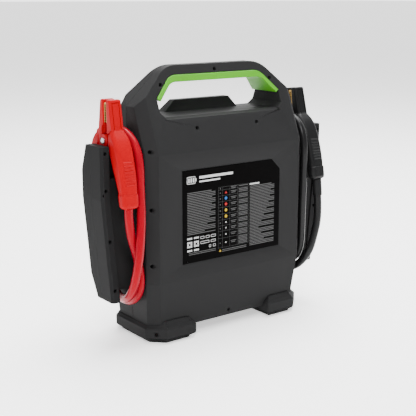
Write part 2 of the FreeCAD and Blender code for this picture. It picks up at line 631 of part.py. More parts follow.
# ---------------------------------------------------------------- cables
def tube(points, radius, name):
    """Round tube along straight runs joined by tangent arcs."""
    edges = []
    start = V(*points[0])
    radii = []
    length = 0.0
    for i in range(1, len(points) - 1):
        a, b, c = V(*points[i - 1]), V(*points[i]), V(*points[i + 1])
        into, out = (b - a), (c - b)
        shorter = min(into.Length, out.Length)
        d1, d2 = V(into).normalize(), V(out).normalize()
        turn = math.acos(max(-1.0, min(1.0, d1.dot(d2))))
        reach = 0.45 * shorter
        bend = reach / math.tan(turn / 2)
        radii.append(bend)
        p, q = b - d1 * reach, b + d2 * reach
        to_centre = (d2 - d1).normalize()
        centre = b + to_centre * (bend / math.cos(turn / 2))
        middle = centre - to_centre * bend
        edges.append(Part.LineSegment(start, p).toShape())
        edges.append(Part.Arc(p, middle, q).toShape())
        length += (p - start).Length + bend * turn
        start = q
    end = V(*points[-1])
    edges.append(Part.LineSegment(start, end).toShape())
    length += (end - start).Length
    path = Part.Wire(edges)
    first = V(*points[1]) - V(*points[0])
    ring = Part.Wire(Part.Circle(V(*points[0]), first, radius).toShape())
    solid = path.makePipeShell([ring], True, False)
    ratio = solid.Volume / (math.pi * radius ** 2 * length)
    print("%s: length %.1f mm, tightest radius %.1f mm, volume ratio %.4f"
          % (name, length, min(radii), ratio))
    return solid


# red cable, left side: from its boot on the case, once round the holster, to its clamp
RED_ROUTE = [
    (-158.0, 37.5, 130.0), (-158.0, 37.5, 95.0), (-163.5, 12.0, 69.0), (-168.5, -27.0, 67.0),
    (-171.5, -54.0, 94.0), (-168.0, -63.5, 140.0), (-158.2, -55.0, 190.0), (-155.3, -48.5, 234.0),
    (-155.0, -47.0, 284.0), (-155.5, -19.5, 311.5), (-156.0, 20.0, 312.0),
    (-155.5, 48.0, 284.0), (-154.5, 53.0, 212.0), (-154.5, 53.0, 140.0), (-153.5, 52.5, 86.0),
    (-152.7, 25.0, 58.5), (-152.7, -17.0, 58.5), (-153.5, -44.5, 86.0),
    (-155.3, -41.0, 127.5), (-177.4, -52.0, 178.0), (-177.4, -52.0, 210.0),
]
# black cable, right side: the same winding, a little fuller
BLACK_ROUTE = [
    (158.0, 37.5, 130.0), (158.0, 37.5, 94.5), (156.5, 13.2, 70.0), (155.0, -21.2, 70.0),
    (154.0, -45.5, 94.5), (153.5, -46.0, 150.0), (154.5, -47.0, 214.0),
    (155.0, -47.0, 284.0), (155.5, -19.0, 312.0), (156.0, 20.5, 312.5),
    (155.5, 48.5, 284.0), (154.5, 53.0, 212.0), (154.5, 53.0, 140.0), (153.5, 52.5, 87.0),
    (153.0, 22.5, 57.0), (153.5, -27.0, 57.0), (160.0, -57.0, 88.0),
    (170.0, -59.5, 120.0), (177.4, -60.06, 152.32), (177.4, -56.72, 184.14),
]


ROUTES_DRAWN_AT = 146.0     # body half width that both cable runs are laid out for


def beside(route):
    """A cable run, carried in or out with the side wall it hangs on."""
    shift = BODY_HALF_WIDTH - ROUTES_DRAWN_AT
    return [(x + math.copysign(shift, x), y, z) for x, y, z in route]


def cable_boot():
    """Moulded elbow on the left side wall that the cable comes out of, downwards."""
    x, y, half = -BOOT_X, BOOT_Y, BOOT_HALF
    elbow = block(x - half, -BODY_HALF_WIDTH - 0.1, y - half, y + half, BOOT_BOTTOM + 8, BOOT_TOP)
    elbow = elbow.makeFillet(5.0, edges_near(
        elbow, lambda m, e: m.x < x - half + 0.1 and m.z > BOOT_BOTTOM + 9))
    collar = Part.makeCone(CABLE_R + 0.6, half - 0.4, 9.0, V(x, y, BOOT_BOTTOM), V(0, 0, 1))
    stub = rod(x, y, (BOOT_BOTTOM + BOOT_TOP) / 2 + 4, 6.0, 22.0, (1, 0, 0))
    return fused([elbow, collar, stub])


# ---------------------------------------------------------------- front controls
LEAN_ANGLE = math.degrees(math.atan(LEAN))


def on_lean(shape):
    """Place a shape drawn flat (x to the viewer's right, y up the slope, z out)."""
    turn = FreeCAD.Rotation(V(-1, 0, 0), V(0, -math.sin(math.radians(LEAN_ANGLE)),
                                           math.cos(math.radians(LEAN_ANGLE))),
                            V(0, math.cos(math.radians(LEAN_ANGLE)),
                              math.sin(math.radians(LEAN_ANGLE))), "XYZ")
    moved = shape.copy()
    moved.Placement = FreeCAD.Placement(V(0, BODY_HALF_DEPTH, FRONT_BEND), turn)
    return moved


def make_screen(front):
    """Screen lens and module in the leaning face."""
    w, low, high, t = SCREEN_HALF_WIDTH, SCREEN_LOW, SCREEN_HIGH, SCREEN_THICKNESS
    seat = on_lean(block(-w, w, low, high, -t, 5.0))
    through = on_lean(block(-w + 3, w - 3, low + 3, high - 3, -20.0, 5.0))
    front = front.cut(seat).cut(through)
    lens = block(-w + FIT, w - FIT, low + FIT, high - FIT, -t, 0.2)
    nodes["screen_lens"] = on_lean(lens)
    module = block(-w - 2, w + 2, low - 2, high + 2, -CASE_WALL - 6.0, -CASE_WALL - 0.1)
    nodes["screen_module"] = on_lean(module)
    return front


def make_knob(front):
    """Rotary selector in a dish, with its shaft and switch body."""
    floor = BODY_HALF_DEPTH - KNOB_RECESS
    dish_r = KNOB_R + KNOB_MARGIN
    cup = rod(0, floor - CASE_WALL, KNOB_Z, dish_r + CASE_WALL, KNOB_RECESS + 1, (0, 1, 0))
    front = front.fuse(cup).cut(rod(0, floor, KNOB_Z, dish_r, KNOB_RECESS + 5, (0, 1, 0)))
    front = front.cut(rod(0, floor - 10, KNOB_Z, KNOB_SHAFT_R + FIT, 20, (0, 1, 0)))
    base = rod(0, floor + 0.3, KNOB_Z, KNOB_R, 4.0, (0, 1, 0))
    grip_end = KNOB_R - 1.5
    bar = block(-6, 6, floor + 1, floor + KNOB_HEIGHT, KNOB_Z - grip_end, KNOB_Z + grip_end)
    bar = bar.common(rod(0, floor, KNOB_Z, KNOB_R - 1.0, KNOB_HEIGHT, (0, 1, 0)))
    shaft = rod(0, floor - 14, KNOB_Z, KNOB_SHAFT_R, 15, (0, 1, 0))
    nodes["selector_knob"] = fused([base, bar, shaft])
    switch = block(-13, 13, CONTROL_BOARD_Y + 1.6, floor - CASE_WALL - 0.1,
                   KNOB_Z - 13, KNOB_Z + 13)
    nodes["selector_switch"] = switch.cut(
        rod(0, floor - 15, KNOB_Z, KNOB_SHAFT_R + 0.08, 20, (0, 1, 0)))
    return front


def make_button(front, name, x):
    """Push button with a retaining flange."""
    face = BODY_HALF_DEPTH
    front = front.cut(rod(x, face - 10, KNOB_Z, BUTTON_R + FIT, 20, (0, 1, 0)))
    cap = rod(x, face - 4.0, KNOB_Z, BUTTON_R, 6.0, (0, 1, 0))
    cap = cap.makeFillet(1.2, edges_near(cap, lambda m, e: m.y > face + 1.9 and e.Length > 20))
    wall = face - CASE_WALL
    flange = rod(x, wall - 2.2, KNOB_Z, BUTTON_R + 2, 1.8, (0, 1, 0))
    stem = rod(x, wall - BUTTON_STEM, KNOB_Z, 2.0, 4.0, (0, 1, 0))
    nodes[name] = fused([cap, flange, stem])
    return front


def button_switch(x):
    """Tactile switch that stands on the control board behind a button."""
    front_y = BODY_HALF_DEPTH - CASE_WALL - BUTTON_STEM - BUTTON_TRAVEL - 0.2
    return block(x - 6, x + 6, CONTROL_BOARD_Y + 1.6, front_y, KNOB_Z - 6, KNOB_Z + 6)


def make_lamp(front):
    """Work lamp: lens, reflector tray and LED board."""
    face = BODY_HALF_DEPTH
    z0, z1 = LAMP_Z
    w, t = LAMP_HALF_WIDTH, LAMP_THICKNESS
    front = front.cut(block(-w, w, face - 1.5, face + 5, z0, z1))
    front = front.cut(block(-w + 3, w - 3, face - 10, face + 5, z0 + 3, z1 - 3))
    lens = block(-w + FIT, w - FIT, face - 1.5, face - 1.5 + t, z0 + FIT, z1 - FIT)
    lens = lens.makeFillet(1.5, edges_near(lens, lambda m, e: m.y > face + 2.4))
    nodes["lamp_lens"] = lens
    tray = block(-w + 1, w - 1, face - 18, face - CASE_WALL - 0.05, z0 + 1, z1 - 1)
    tray = tray.cut(block(-w + 4, w - 4, face - 15, face, z0 + 4, z1 - 4))
    nodes["lamp_reflector"] = tray
    board = block(-w + 5, w - 5, face - 14.9, face - 13.4, z0 + 5, z1 - 5)
    leds = [block(x - 2.5, x + 2.5, face - 13.4, face - 12.0, (z0 + z1) / 2 - 2.5,
                  (z0 + z1) / 2 + 2.5) for x in range(-44, 45, 22)]
    nodes["lamp_board"] = fused([board] + leds)
    return front


def make_ports(front):
    """Port bay with its sockets, hinged door and door pin."""
    face = BODY_HALF_DEPTH
    z0, z1 = DOOR_Z
    w = DOOR_HALF_WIDTH
    bay_out = block(-w - 2, w + 2, PORT_FLOOR_Y, face - CASE_WALL + 0.5, z0 - 2, z1 + 2)
    front = front.fuse(bay_out).cut(block(-w, w, PORT_FLOOR_Y - 5, face + 5, z0, z1))
    pin_y, pin_z = face - 2.6, z0 + HINGE_R + 1.2
    knuckle_half = 7.0
    knuckle_x = w - 16
    ears = [block(s * (w - 6), s * (w + 0.5), pin_y - 2.2, pin_y + 1.8, z0 - 0.5, pin_z + 1.6)
            for s in (-1, 1)]
    front = front.fuse(ears)
    front = front.cut(rod(-w - 1, pin_y, pin_z, HINGE_PIN_R + 0.03, 2 * w + 2, (1, 0, 0)))
    nodes["door_pin"] = rod(-w - 0.9, pin_y, pin_z, HINGE_PIN_R, 2 * w + 1.8, (1, 0, 0))
    door_y = face - 0.4
    plate = block(-w + FIT + 0.2, w - FIT - 0.2, door_y - DOOR_THICKNESS, door_y,
                  pin_z + HINGE_R + 0.2, z1 - FIT)
    knuckles = []
    for s in (-1, 1):
        knuckles.append(rod(s * knuckle_x - knuckle_half, pin_y, pin_z, HINGE_R,
                            2 * knuckle_half, (1, 0, 0)))
        knuckles.append(block(s * knuckle_x - knuckle_half, s * knuckle_x + knuckle_half,
                              door_y - DOOR_THICKNESS, door_y - 0.3, pin_z, pin_z + HINGE_R + 1))
    lip = block(-9, 9, door_y - 0.1, door_y + 1.6, z1 - 5, z1 - 1.5)
    door = fused([plate] + knuckles + [lip])
    nodes["port_door"] = door.cut(rod(-w, pin_y, pin_z, HINGE_PIN_R + 0.06, 2 * w, (1, 0, 0)))
    panel = block(-w - 1, w + 1, PORT_FLOOR_Y - 2.1, PORT_FLOOR_Y - 0.1, z0 - 1, z1 + 1)
    mid = (z0 + z1) / 2 + 2
    shells = []
    for x in (-36.0, -14.0):
        outer = block(x - 7.2, x + 7.2, PORT_FLOOR_Y - 12, PORT_FLOOR_Y + 1.0, mid - 3.6, mid + 3.6)
        slot = block(x - 6.2, x + 6.2, PORT_FLOOR_Y - 8, PORT_FLOOR_Y + 2, mid - 2.6, mid + 2.6)
        tongue = block(x - 5.2, x + 5.2, PORT_FLOOR_Y - 9, PORT_FLOOR_Y - 1, mid + 0.2, mid + 1.9)
        shells.append(outer.cut(slot).fuse(tongue).removeSplitter())
        panel = panel.cut(block(x - 7.4, x + 7.4, 0, 80, mid - 3.8, mid + 3.8))
    barrel = rod(12.0, PORT_FLOOR_Y - 12, mid, 5.5, 13.0, (0, 1, 0))
    shells.append(barrel.cut(rod(12.0, PORT_FLOOR_Y - 8, mid, 3.6, 12.0, (0, 1, 0))))
    panel = panel.cut(rod(12.0, 0, mid, 5.7, 80, (0, 1, 0)))
    power = block(27.0, 45.0, PORT_FLOOR_Y - 12, PORT_FLOOR_Y + 1.0, mid - 6.5, mid + 6.5)
    shells.append(power.cut(block(29.0, 43.0, PORT_FLOOR_Y - 8, PORT_FLOOR_Y + 2,
                                  mid - 4.5, mid + 4.5)))
    panel = panel.cut(block(26.8, 45.2, 0, 80, mid - 6.7, mid + 6.7))
    nodes["port_panel"] = panel
    nodes["port_sockets"] = group(shells)
    return front


# ---------------------------------------------------------------- inside the case
def make_inside():
    """Battery, boards, relays and heavy leads."""
    floor = BOTTOM_SCREW_Z + BOSS_R + 1.0
    tray = block(-124, 124, -46, 11, floor, floor + 4)
    tray = tray.fuse([block(s * 120.4, s * 124, -46, 11, floor, floor + 40) for s in (-1, 1)])
    tray = tray.fuse(block(-5, 5, -46, 11, floor, floor + 40)).removeSplitter()
    nodes["battery_tray"] = tray
    base = floor + 4.1
    cells, tabs = [], []
    for s in (-1, 1):
        for k in range(4):
            y = -45.0 + 13.4 * k
            cells.append(block(s * 6.0, s * 119.5, y, y + 12.8, base, base + 150))
            tabs.append(block(s * 50.0, s * 72.0, y + 5.4, y + 7.4, base + 150, base + 158))
    nodes["battery_cells"] = group(cells)
    nodes["cell_tabs"] = group(tabs)
    straps = [block(s * 62.0 - 9, s * 62.0 + 9, -43, 8, base + 158.1, base + 160.6)
              for s in (-1, 1)]
    nodes["busbars"] = group(straps)
    nodes["fuse_link"] = fused([block(-52.9, 52.9, -30, -14, base + 160.7, base + 163.2),
                                block(-14, 14, -31, -13, base + 158.5, base + 170)])
    board_y = 14.0
    board = block(-112, 112, board_y, board_y + 1.6, 34, 196)
    parts = [block(-100, -62, board_y + 1.6, board_y + 17, 150, 188),
             block(62, 100, board_y + 1.6, board_y + 12, 150, 188)]
    parts += [rod(x, board_y + 1.6, 60, 8.0, 20.0, (0, 1, 0)) for x in (-96, -74, 74, 96)]
    nodes["main_board"] = fused([board] + parts)
    nodes["power_relays"] = group([block(x - 14, x + 14, board_y + 1.7, board_y + 26, 44, 76)
                                   for x in (-40, 0, 40)])
    nodes["control_board"] = block(-72, 72, CONTROL_BOARD_Y, CONTROL_BOARD_Y + 1.5, 206, 240)
    nodes["button_switches"] = group([button_switch(x) for x in (-BUTTON_X, BUTTON_X)])


def make_leads():
    """Heavy leads inside the case, from each cable boot to the busbars, with their lugs."""
    z = (BOOT_BOTTOM + BOOT_TOP) / 2 + 4
    inner_x = -BOOT_X + 22.0
    lead = rod(inner_x + 0.05, BOOT_Y, z, 5.0, 12.0, (1, 0, 0))
    lug = block(inner_x + 12.1, inner_x + 24, BOOT_Y - 7, BOOT_Y + 7, z - 1.5, z + 1.5)
    nodes["red_lead"] = lead
    nodes["black_lead"] = mirrored(lead)
    nodes["lead_lugs"] = group([lug, mirrored(lug)])


# ---------------------------------------------------------------- build
def build():
    """Make every node."""
    rear, front, case_form = make_case()

    recess_y = -BODY_HALF_DEPTH
    w = LABEL_HALF_WIDTH
    outline = [(-w, LABEL_BOTTOM), (w, LABEL_BOTTOM), (w, LABEL_TOP - LABEL_CUT),
               (w - LABEL_CUT, LABEL_TOP), (-w, LABEL_TOP)]
    rear = rear.cut(prism(grown(outline, 0.2), recess_y - 1, recess_y + LABEL_RECESS, "xz"))
    nodes["rear_label"] = prism(outline, recess_y + LABEL_RECESS - LABEL_THICKNESS,
                                recess_y + LABEL_RECESS, "xz")

    front = make_screen(front)
    front = make_knob(front)
    front = make_button(front, "power_button", BUTTON_X)
    front = make_button(front, "boost_button", -BUTTON_X)
    front = make_lamp(front)
    front = make_ports(front)

    z = (BOOT_BOTTOM + BOOT_TOP) / 2 + 4
    cuts = bolt_holes() + [mirrored(h) for h in bolt_holes()]
    stub = rod(-BODY_HALF_WIDTH - 5, BOOT_Y, z, 6.0 + 0.1, 14.0, (1, 0, 0))
    cuts += [stub, mirrored(stub)]
    holes = Part.makeCompound(cuts)
    nodes["rear_shell"] = rear.cut(holes)
    nodes["front_shell"] = front.cut(holes)
    nodes["handle_grip"] = make_grip()

    foot, sole, foot_screws = make_feet(case_block(-FOOT_GAP))
    for name, shape in (("foot", foot), ("sole", sole)):
        nodes["left_" + name] = shape
        nodes["right_" + name] = mirrored(shape)
    nodes["foot_screws"] = group(foot_screws + [mirrored(s) for s in foot_screws])

    wing_rear, wing_front, wing_screws = make_wing()
    holster, bolts = make_holster(case_block(-HOLSTER_GAP))
    for name, shape in (("wing_rear", wing_rear), ("wing_front", wing_front),
                        ("holster", holster), ("cable_boot", cable_boot())):
        nodes["left_" + name] = shape
        nodes["right_" + name] = mirrored(shape)
    nodes["wing_screws"] = group(wing_screws + [mirrored(s) for s in wing_screws])
    nodes["holster_bolts"] = group(bolts + [mirrored(b) for b in bolts])

    def red_place(shape):
        moved = shape.copy()
        moved.translate(V(-CLAMP_X, CLAMP_PIVOT_Y, CLAMP_PIVOT_Z))
        return moved

    def black_place(shape):
        moved = shape.mirror(V(0, 0, 0), V(1, 0, 0))
        moved.translate(V(CLAMP_X, CLAMP_PIVOT_Y, CLAMP_PIVOT_Z))
        tail = V(CLAMP_X, CLAMP_PIVOT_Y - 44.0, CLAMP_PIVOT_Z - HANDLE_TAIL)
        moved.rotate(tail, V(1, 0, 0), -BLACK_CLAMP_TILT)
        return moved

    make_clamp(red_place, "red")
    make_clamp(black_place, "black")
    tail = V(CLAMP_X, CLAMP_PIVOT_Y - 44.0, CLAMP_PIVOT_Z - HANDLE_TAIL)
    sleeve = Part.makeCylinder(SLEEVE_R, SLEEVE_LENGTH, tail, V(0, 0, -1))
    sleeve.rotate(tail, V(1, 0, 0), -BLACK_CLAMP_TILT)
    nodes["black_cable_sleeve"] = sleeve
    nodes["red_cable"] = tube(beside(RED_ROUTE), CABLE_R, "red_cable")
    nodes["black_cable"] = tube(beside(BLACK_ROUTE), CABLE_R, "black_cable")

    make_inside()
    make_leads()


def export():
    """Write one STEP file per node."""
    os.makedirs("parts", exist_ok=True)
    for name, shape in sorted(nodes.items()):
        if not shape.isValid():
            print("not valid:", name)
        print("%-24s solids %2d  volume %10.1f" % (name, len(shape.Solids), shape.Volume))
        shape.exportStep("parts/%s.step" % name)
    print(len(nodes), "nodes")


build()
export()
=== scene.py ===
"""Portable jump starter pack with two parked booster clamps, finished for display."""

import json
import logging
import math
from dataclasses import dataclass
from enum import Enum
from typing import Callable, Sequence

import bpy
from mathutils import Matrix, Vector

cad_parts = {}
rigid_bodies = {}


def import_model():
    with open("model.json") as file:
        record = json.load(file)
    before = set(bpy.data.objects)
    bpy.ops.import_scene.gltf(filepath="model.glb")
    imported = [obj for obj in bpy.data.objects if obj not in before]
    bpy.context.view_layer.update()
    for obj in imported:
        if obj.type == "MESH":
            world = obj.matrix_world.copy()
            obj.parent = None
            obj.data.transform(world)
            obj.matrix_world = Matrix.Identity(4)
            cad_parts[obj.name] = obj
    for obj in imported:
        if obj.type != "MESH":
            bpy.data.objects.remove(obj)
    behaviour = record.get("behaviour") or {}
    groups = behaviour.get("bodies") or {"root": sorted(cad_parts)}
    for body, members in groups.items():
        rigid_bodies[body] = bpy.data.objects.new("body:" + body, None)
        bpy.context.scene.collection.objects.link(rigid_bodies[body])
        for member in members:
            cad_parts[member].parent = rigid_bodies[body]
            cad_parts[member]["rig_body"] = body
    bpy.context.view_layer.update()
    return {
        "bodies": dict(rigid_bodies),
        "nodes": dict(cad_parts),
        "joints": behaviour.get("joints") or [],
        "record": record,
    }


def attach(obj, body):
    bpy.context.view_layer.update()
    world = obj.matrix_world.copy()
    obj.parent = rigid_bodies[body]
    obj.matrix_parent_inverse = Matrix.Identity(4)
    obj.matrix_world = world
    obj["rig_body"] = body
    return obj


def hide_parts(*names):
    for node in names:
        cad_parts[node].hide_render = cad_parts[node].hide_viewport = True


LOG = logging.getLogger("jump_starter")
Piece = bpy.types.Object
Node = bpy.types.Node
Tree = bpy.types.NodeTree
Socket = bpy.types.NodeSocket
Point = tuple[float, float, float]
Colour = tuple[float, float, float]
PlaceTest = Callable[[Vector], bool]
MM = 0.001
WHITE = (1.0, 1.0, 1.0, 1.0)
ACROSS: Point = (0.0, math.pi / 2, 0.0)      # turns a cylinder to lie along X


# ------ shared shader groups
def fill(node: Node, values: dict) -> Node:
    """Set a node's input values, by name or number."""
    for key, value in values.items():
        node.inputs[key].default_value = value
    return node


def add_node(tree: Tree, kind: str, values: dict | None = None,
             **settings: object) -> Node:
    """Add a shader node.

    Args:
        tree: the tree it goes into.
        kind: shader node type.
        values: its input values, by name or number.
        settings: its property names and values.

    Returns:
        The new node.
    """
    made = tree.nodes.new(kind)
    for key, value in settings.items():
        setattr(made, key, value)
    return fill(made, values or {})


class GroupBuilder:
    """Builds one shader node group that takes a place and some numbers."""

    def __init__(self, name: str, numbers: dict[str, float], results: dict[str, str]) -> None:
        """Start a group.

        Args:
            name: name of the group.
            numbers: its number inputs and their default values.
            results: its outputs and their kinds.
        """
        self.tree = bpy.data.node_groups.new(name, "ShaderNodeTree")
        face = self.tree.interface
        face.new_socket(name="Vector", in_out="INPUT", socket_type="NodeSocketVector")
        for key, value in numbers.items():
            socket = face.new_socket(name=key, in_out="INPUT", socket_type="NodeSocketFloat")
            socket.default_value = value
        for key, kind in results.items():
            face.new_socket(name=key, in_out="OUTPUT", socket_type=kind)
        self.takes = self.tree.nodes.new("NodeGroupInput").outputs
        self.gives = self.tree.nodes.new("NodeGroupOutput").inputs

    def node(self, kind: str, values: dict | None = None, **settings: object) -> Node:
        """Add a node with its input values and properties."""
        return add_node(self.tree, kind, values, **settings)

    def link(self, source: Socket, target: Socket) -> None:
        """Join two sockets."""
        self.tree.links.new(source, target)


class Effects:
    """Node groups that several finishes share."""

    def __init__(self) -> None:
        """Build every group once."""
        self.grain = self._grain()
        # edge mask: partly rubbed wear, partly a painted highlight along outer edges
        self.edges = self._edge_wear_and_highlight()
        self.handling = self._handling()

    @staticmethod
    def _grain() -> Tree:
        """Fine moulded or sprayed grain that gives a height and a speckle mask."""
        g = GroupBuilder("moulded_grain", {"Scale": 900.0, "Softness": 0.5},
                         {"Height": "NodeSocketFloat", "Speckle": "NodeSocketFloat"})
        noise = g.node("ShaderNodeTexNoise", {"Detail": 3.0})
        cells = g.node("ShaderNodeTexVoronoi", feature="SMOOTH_F1")
        mix = g.node("ShaderNodeMix", data_type="FLOAT")
        ramp = g.node("ShaderNodeMapRange", {"From Min": 0.35, "From Max": 0.65})
        for texture in (noise, cells):
            g.link(g.takes["Vector"], texture.inputs["Vector"])
            g.link(g.takes["Scale"], texture.inputs["Scale"])
        g.link(g.takes["Softness"], mix.inputs[0])
        g.link(cells.outputs["Distance"], mix.inputs[2])
        g.link(noise.outputs["Fac"], mix.inputs[3])
        g.link(noise.outputs["Fac"], ramp.inputs["Value"])
        g.link(mix.outputs[0], g.gives["Height"])
        g.link(ramp.outputs["Result"], g.gives["Speckle"])
        return g.tree

    @staticmethod
    def _edge_wear_and_highlight() -> Tree:
        """Mask of outer edges, broken up by noise, for rubbed wear and a painted highlight along
        them, and a softened edge normal.
        """
        g = GroupBuilder("rubbed_and_highlit_edges", {"Radius": 0.0012, "Breakup": 60.0},
                         {"Mask": "NodeSocketFloat", "Normal": "NodeSocketVector"})
        bevel = g.node("ShaderNodeBevel", samples=6)
        plain = g.node("ShaderNodeNewGeometry")
        dot = g.node("ShaderNodeVectorMath", operation="DOT_PRODUCT")
        bend = g.node("ShaderNodeMapRange", {"From Min": 0.995, "From Max": 0.80})
        noise = g.node("ShaderNodeTexNoise", {"Detail": 4.0})
        patch = g.node("ShaderNodeMapRange", {"From Min": 0.35, "From Max": 0.7})
        product = g.node("ShaderNodeMath", operation="MULTIPLY", use_clamp=True)
        g.link(g.takes["Radius"], bevel.inputs["Radius"])
        g.link(bevel.outputs["Normal"], dot.inputs[0])
        g.link(plain.outputs["Normal"], dot.inputs[1])
        g.link(dot.outputs["Value"], bend.inputs["Value"])
        g.link(g.takes["Vector"], noise.inputs["Vector"])
        g.link(g.takes["Breakup"], noise.inputs["Scale"])
        g.link(noise.outputs["Fac"], patch.inputs["Value"])
        g.link(bend.outputs["Result"], product.inputs[0])
        g.link(patch.outputs["Result"], product.inputs[1])
        g.link(product.outputs["Value"], g.gives["Mask"])
        g.link(bevel.outputs["Normal"], g.gives["Normal"])
        return g.tree

    @staticmethod
    def _handling() -> Tree:
        """Broad, faint variation from handling and dust, as a mask."""
        g = GroupBuilder("handling_marks", {"Scale": 9.0}, {"Mask": "NodeSocketFloat"})
        wide = g.node("ShaderNodeTexNoise", {"Detail": 5.0, "Roughness": 0.55})
        shape = g.node("ShaderNodeMapRange", {"From Min": 0.3, "From Max": 0.75})
        g.link(g.takes["Vector"], wide.inputs["Vector"])
        g.link(g.takes["Scale"], wide.inputs["Scale"])
        g.link(wide.outputs["Fac"], shape.inputs["Value"])
        g.link(shape.outputs["Result"], g.gives["Mask"])
        return g.tree


# ------ finishes
@dataclass(frozen=True)
class Finish:
    """One surface finish, made into a material by paint()."""

    name: str
    colour: Colour
    rough: float = 0.5
    metal: float = 0.0
    grain: float = 900.0
    grain_depth: float = 0.00003
    marks: float = 0.12
    # lightening of outer edges: partly rubbed wear, partly a painted highlight
    edge_light: float = 0.25
    edge_radius: float = 0.0010
    coat: float = 0.0
    clear: float = 0.0
    glow: float = 0.0
    shine: float = 0.2
    tint: Colour = (1.0, 1.0, 1.0)

    def paint(self, effects: Effects) -> bpy.types.Material:
        """Build the material.

        Args:
            effects: the shared node groups.

        Returns:
            The material.
        """
        material = bpy.data.materials.new(self.name)
        material.use_nodes = True
        tree = material.node_tree
        shader = tree.nodes["Principled BSDF"]
        place = tree.nodes.new("ShaderNodeTexCoord").outputs["Object"]
        grain = self._group(tree, effects.grain, place, Scale=self.grain)
        edges = self._group(tree, effects.edges, place, Radius=self.edge_radius)
        marks = self._group(tree, effects.handling, place)

        worn = self._mix(tree, self.colour, tuple(min(1.0, c * 1.25 + 0.004) for c in self.colour))
        tree.links.new(self._scaled(tree, marks.outputs["Mask"], self.marks * 4), worn.inputs[0])
        # Outer edges lightened: partly rubbed wear, partly a painted highlight where the edges
        # catch the light.
        lit = self._mix(tree, self.colour, tuple(min(1.0, c * 1.7 + 0.03) for c in self.colour))
        tree.links.new(worn.outputs[2], lit.inputs[6])
        tree.links.new(self._scaled(tree, edges.outputs["Mask"], self.edge_light), lit.inputs[0])
        tree.links.new(lit.outputs[2], shader.inputs["Base Color"])

        rough = add_node(tree, "ShaderNodeMapRange", {"To Min": max(0.02, self.rough - 0.05),
                                                      "To Max": min(1.0, self.rough + 0.06)})
        tree.links.new(grain.outputs["Speckle"], rough.inputs["Value"])
        tree.links.new(rough.outputs["Result"], shader.inputs["Roughness"])

        bump = add_node(tree, "ShaderNodeBump", {"Strength": 0.5, "Distance": self.grain_depth})
        tree.links.new(grain.outputs["Height"], bump.inputs["Height"])
        tree.links.new(edges.outputs["Normal"], bump.inputs["Normal"])
        tree.links.new(bump.outputs["Normal"], shader.inputs["Normal"])

        fill(shader, {"Metallic": self.metal, "Specular IOR Level": self.shine,
                      "Specular Tint": (*self.tint, 1.0), "Coat Weight": self.coat,
                      "Coat Roughness": 0.15, "Transmission Weight": self.clear})
        if self.glow:
            fill(shader, {"Emission Color": (*self.colour, 1.0), "Emission Strength": self.glow})
        return material

    @staticmethod
    def _group(tree: Tree, group: Tree,
               place: Socket, **values: float) -> Node:
        """Place a shared group and set its inputs."""
        node = add_node(tree, "ShaderNodeGroup", values, node_tree=group)
        tree.links.new(place, node.inputs["Vector"])
        return node

    @staticmethod
    def _mix(tree: Tree, a: Colour, b: Colour) -> Node:
        """Colour mix of two plain colours."""
        return add_node(tree, "ShaderNodeMix", {6: (*a, 1.0), 7: (*b, 1.0)}, data_type="RGBA")

    @staticmethod
    def _scaled(tree: Tree, socket: Socket,
                amount: float) -> Socket:
        """A mask times an amount, kept between 0 and 1."""
        node = add_node(tree, "ShaderNodeMath", {1: amount}, operation="MULTIPLY",
                        use_clamp=True)
        tree.links.new(socket, node.inputs[0])
        return node.outputs["Value"]


def ink(name: str, *colour: float) -> Finish:
    """Matt printing ink."""
    return Finish(f"ink_{name}", colour, rough=0.6, edge_light=0.0)


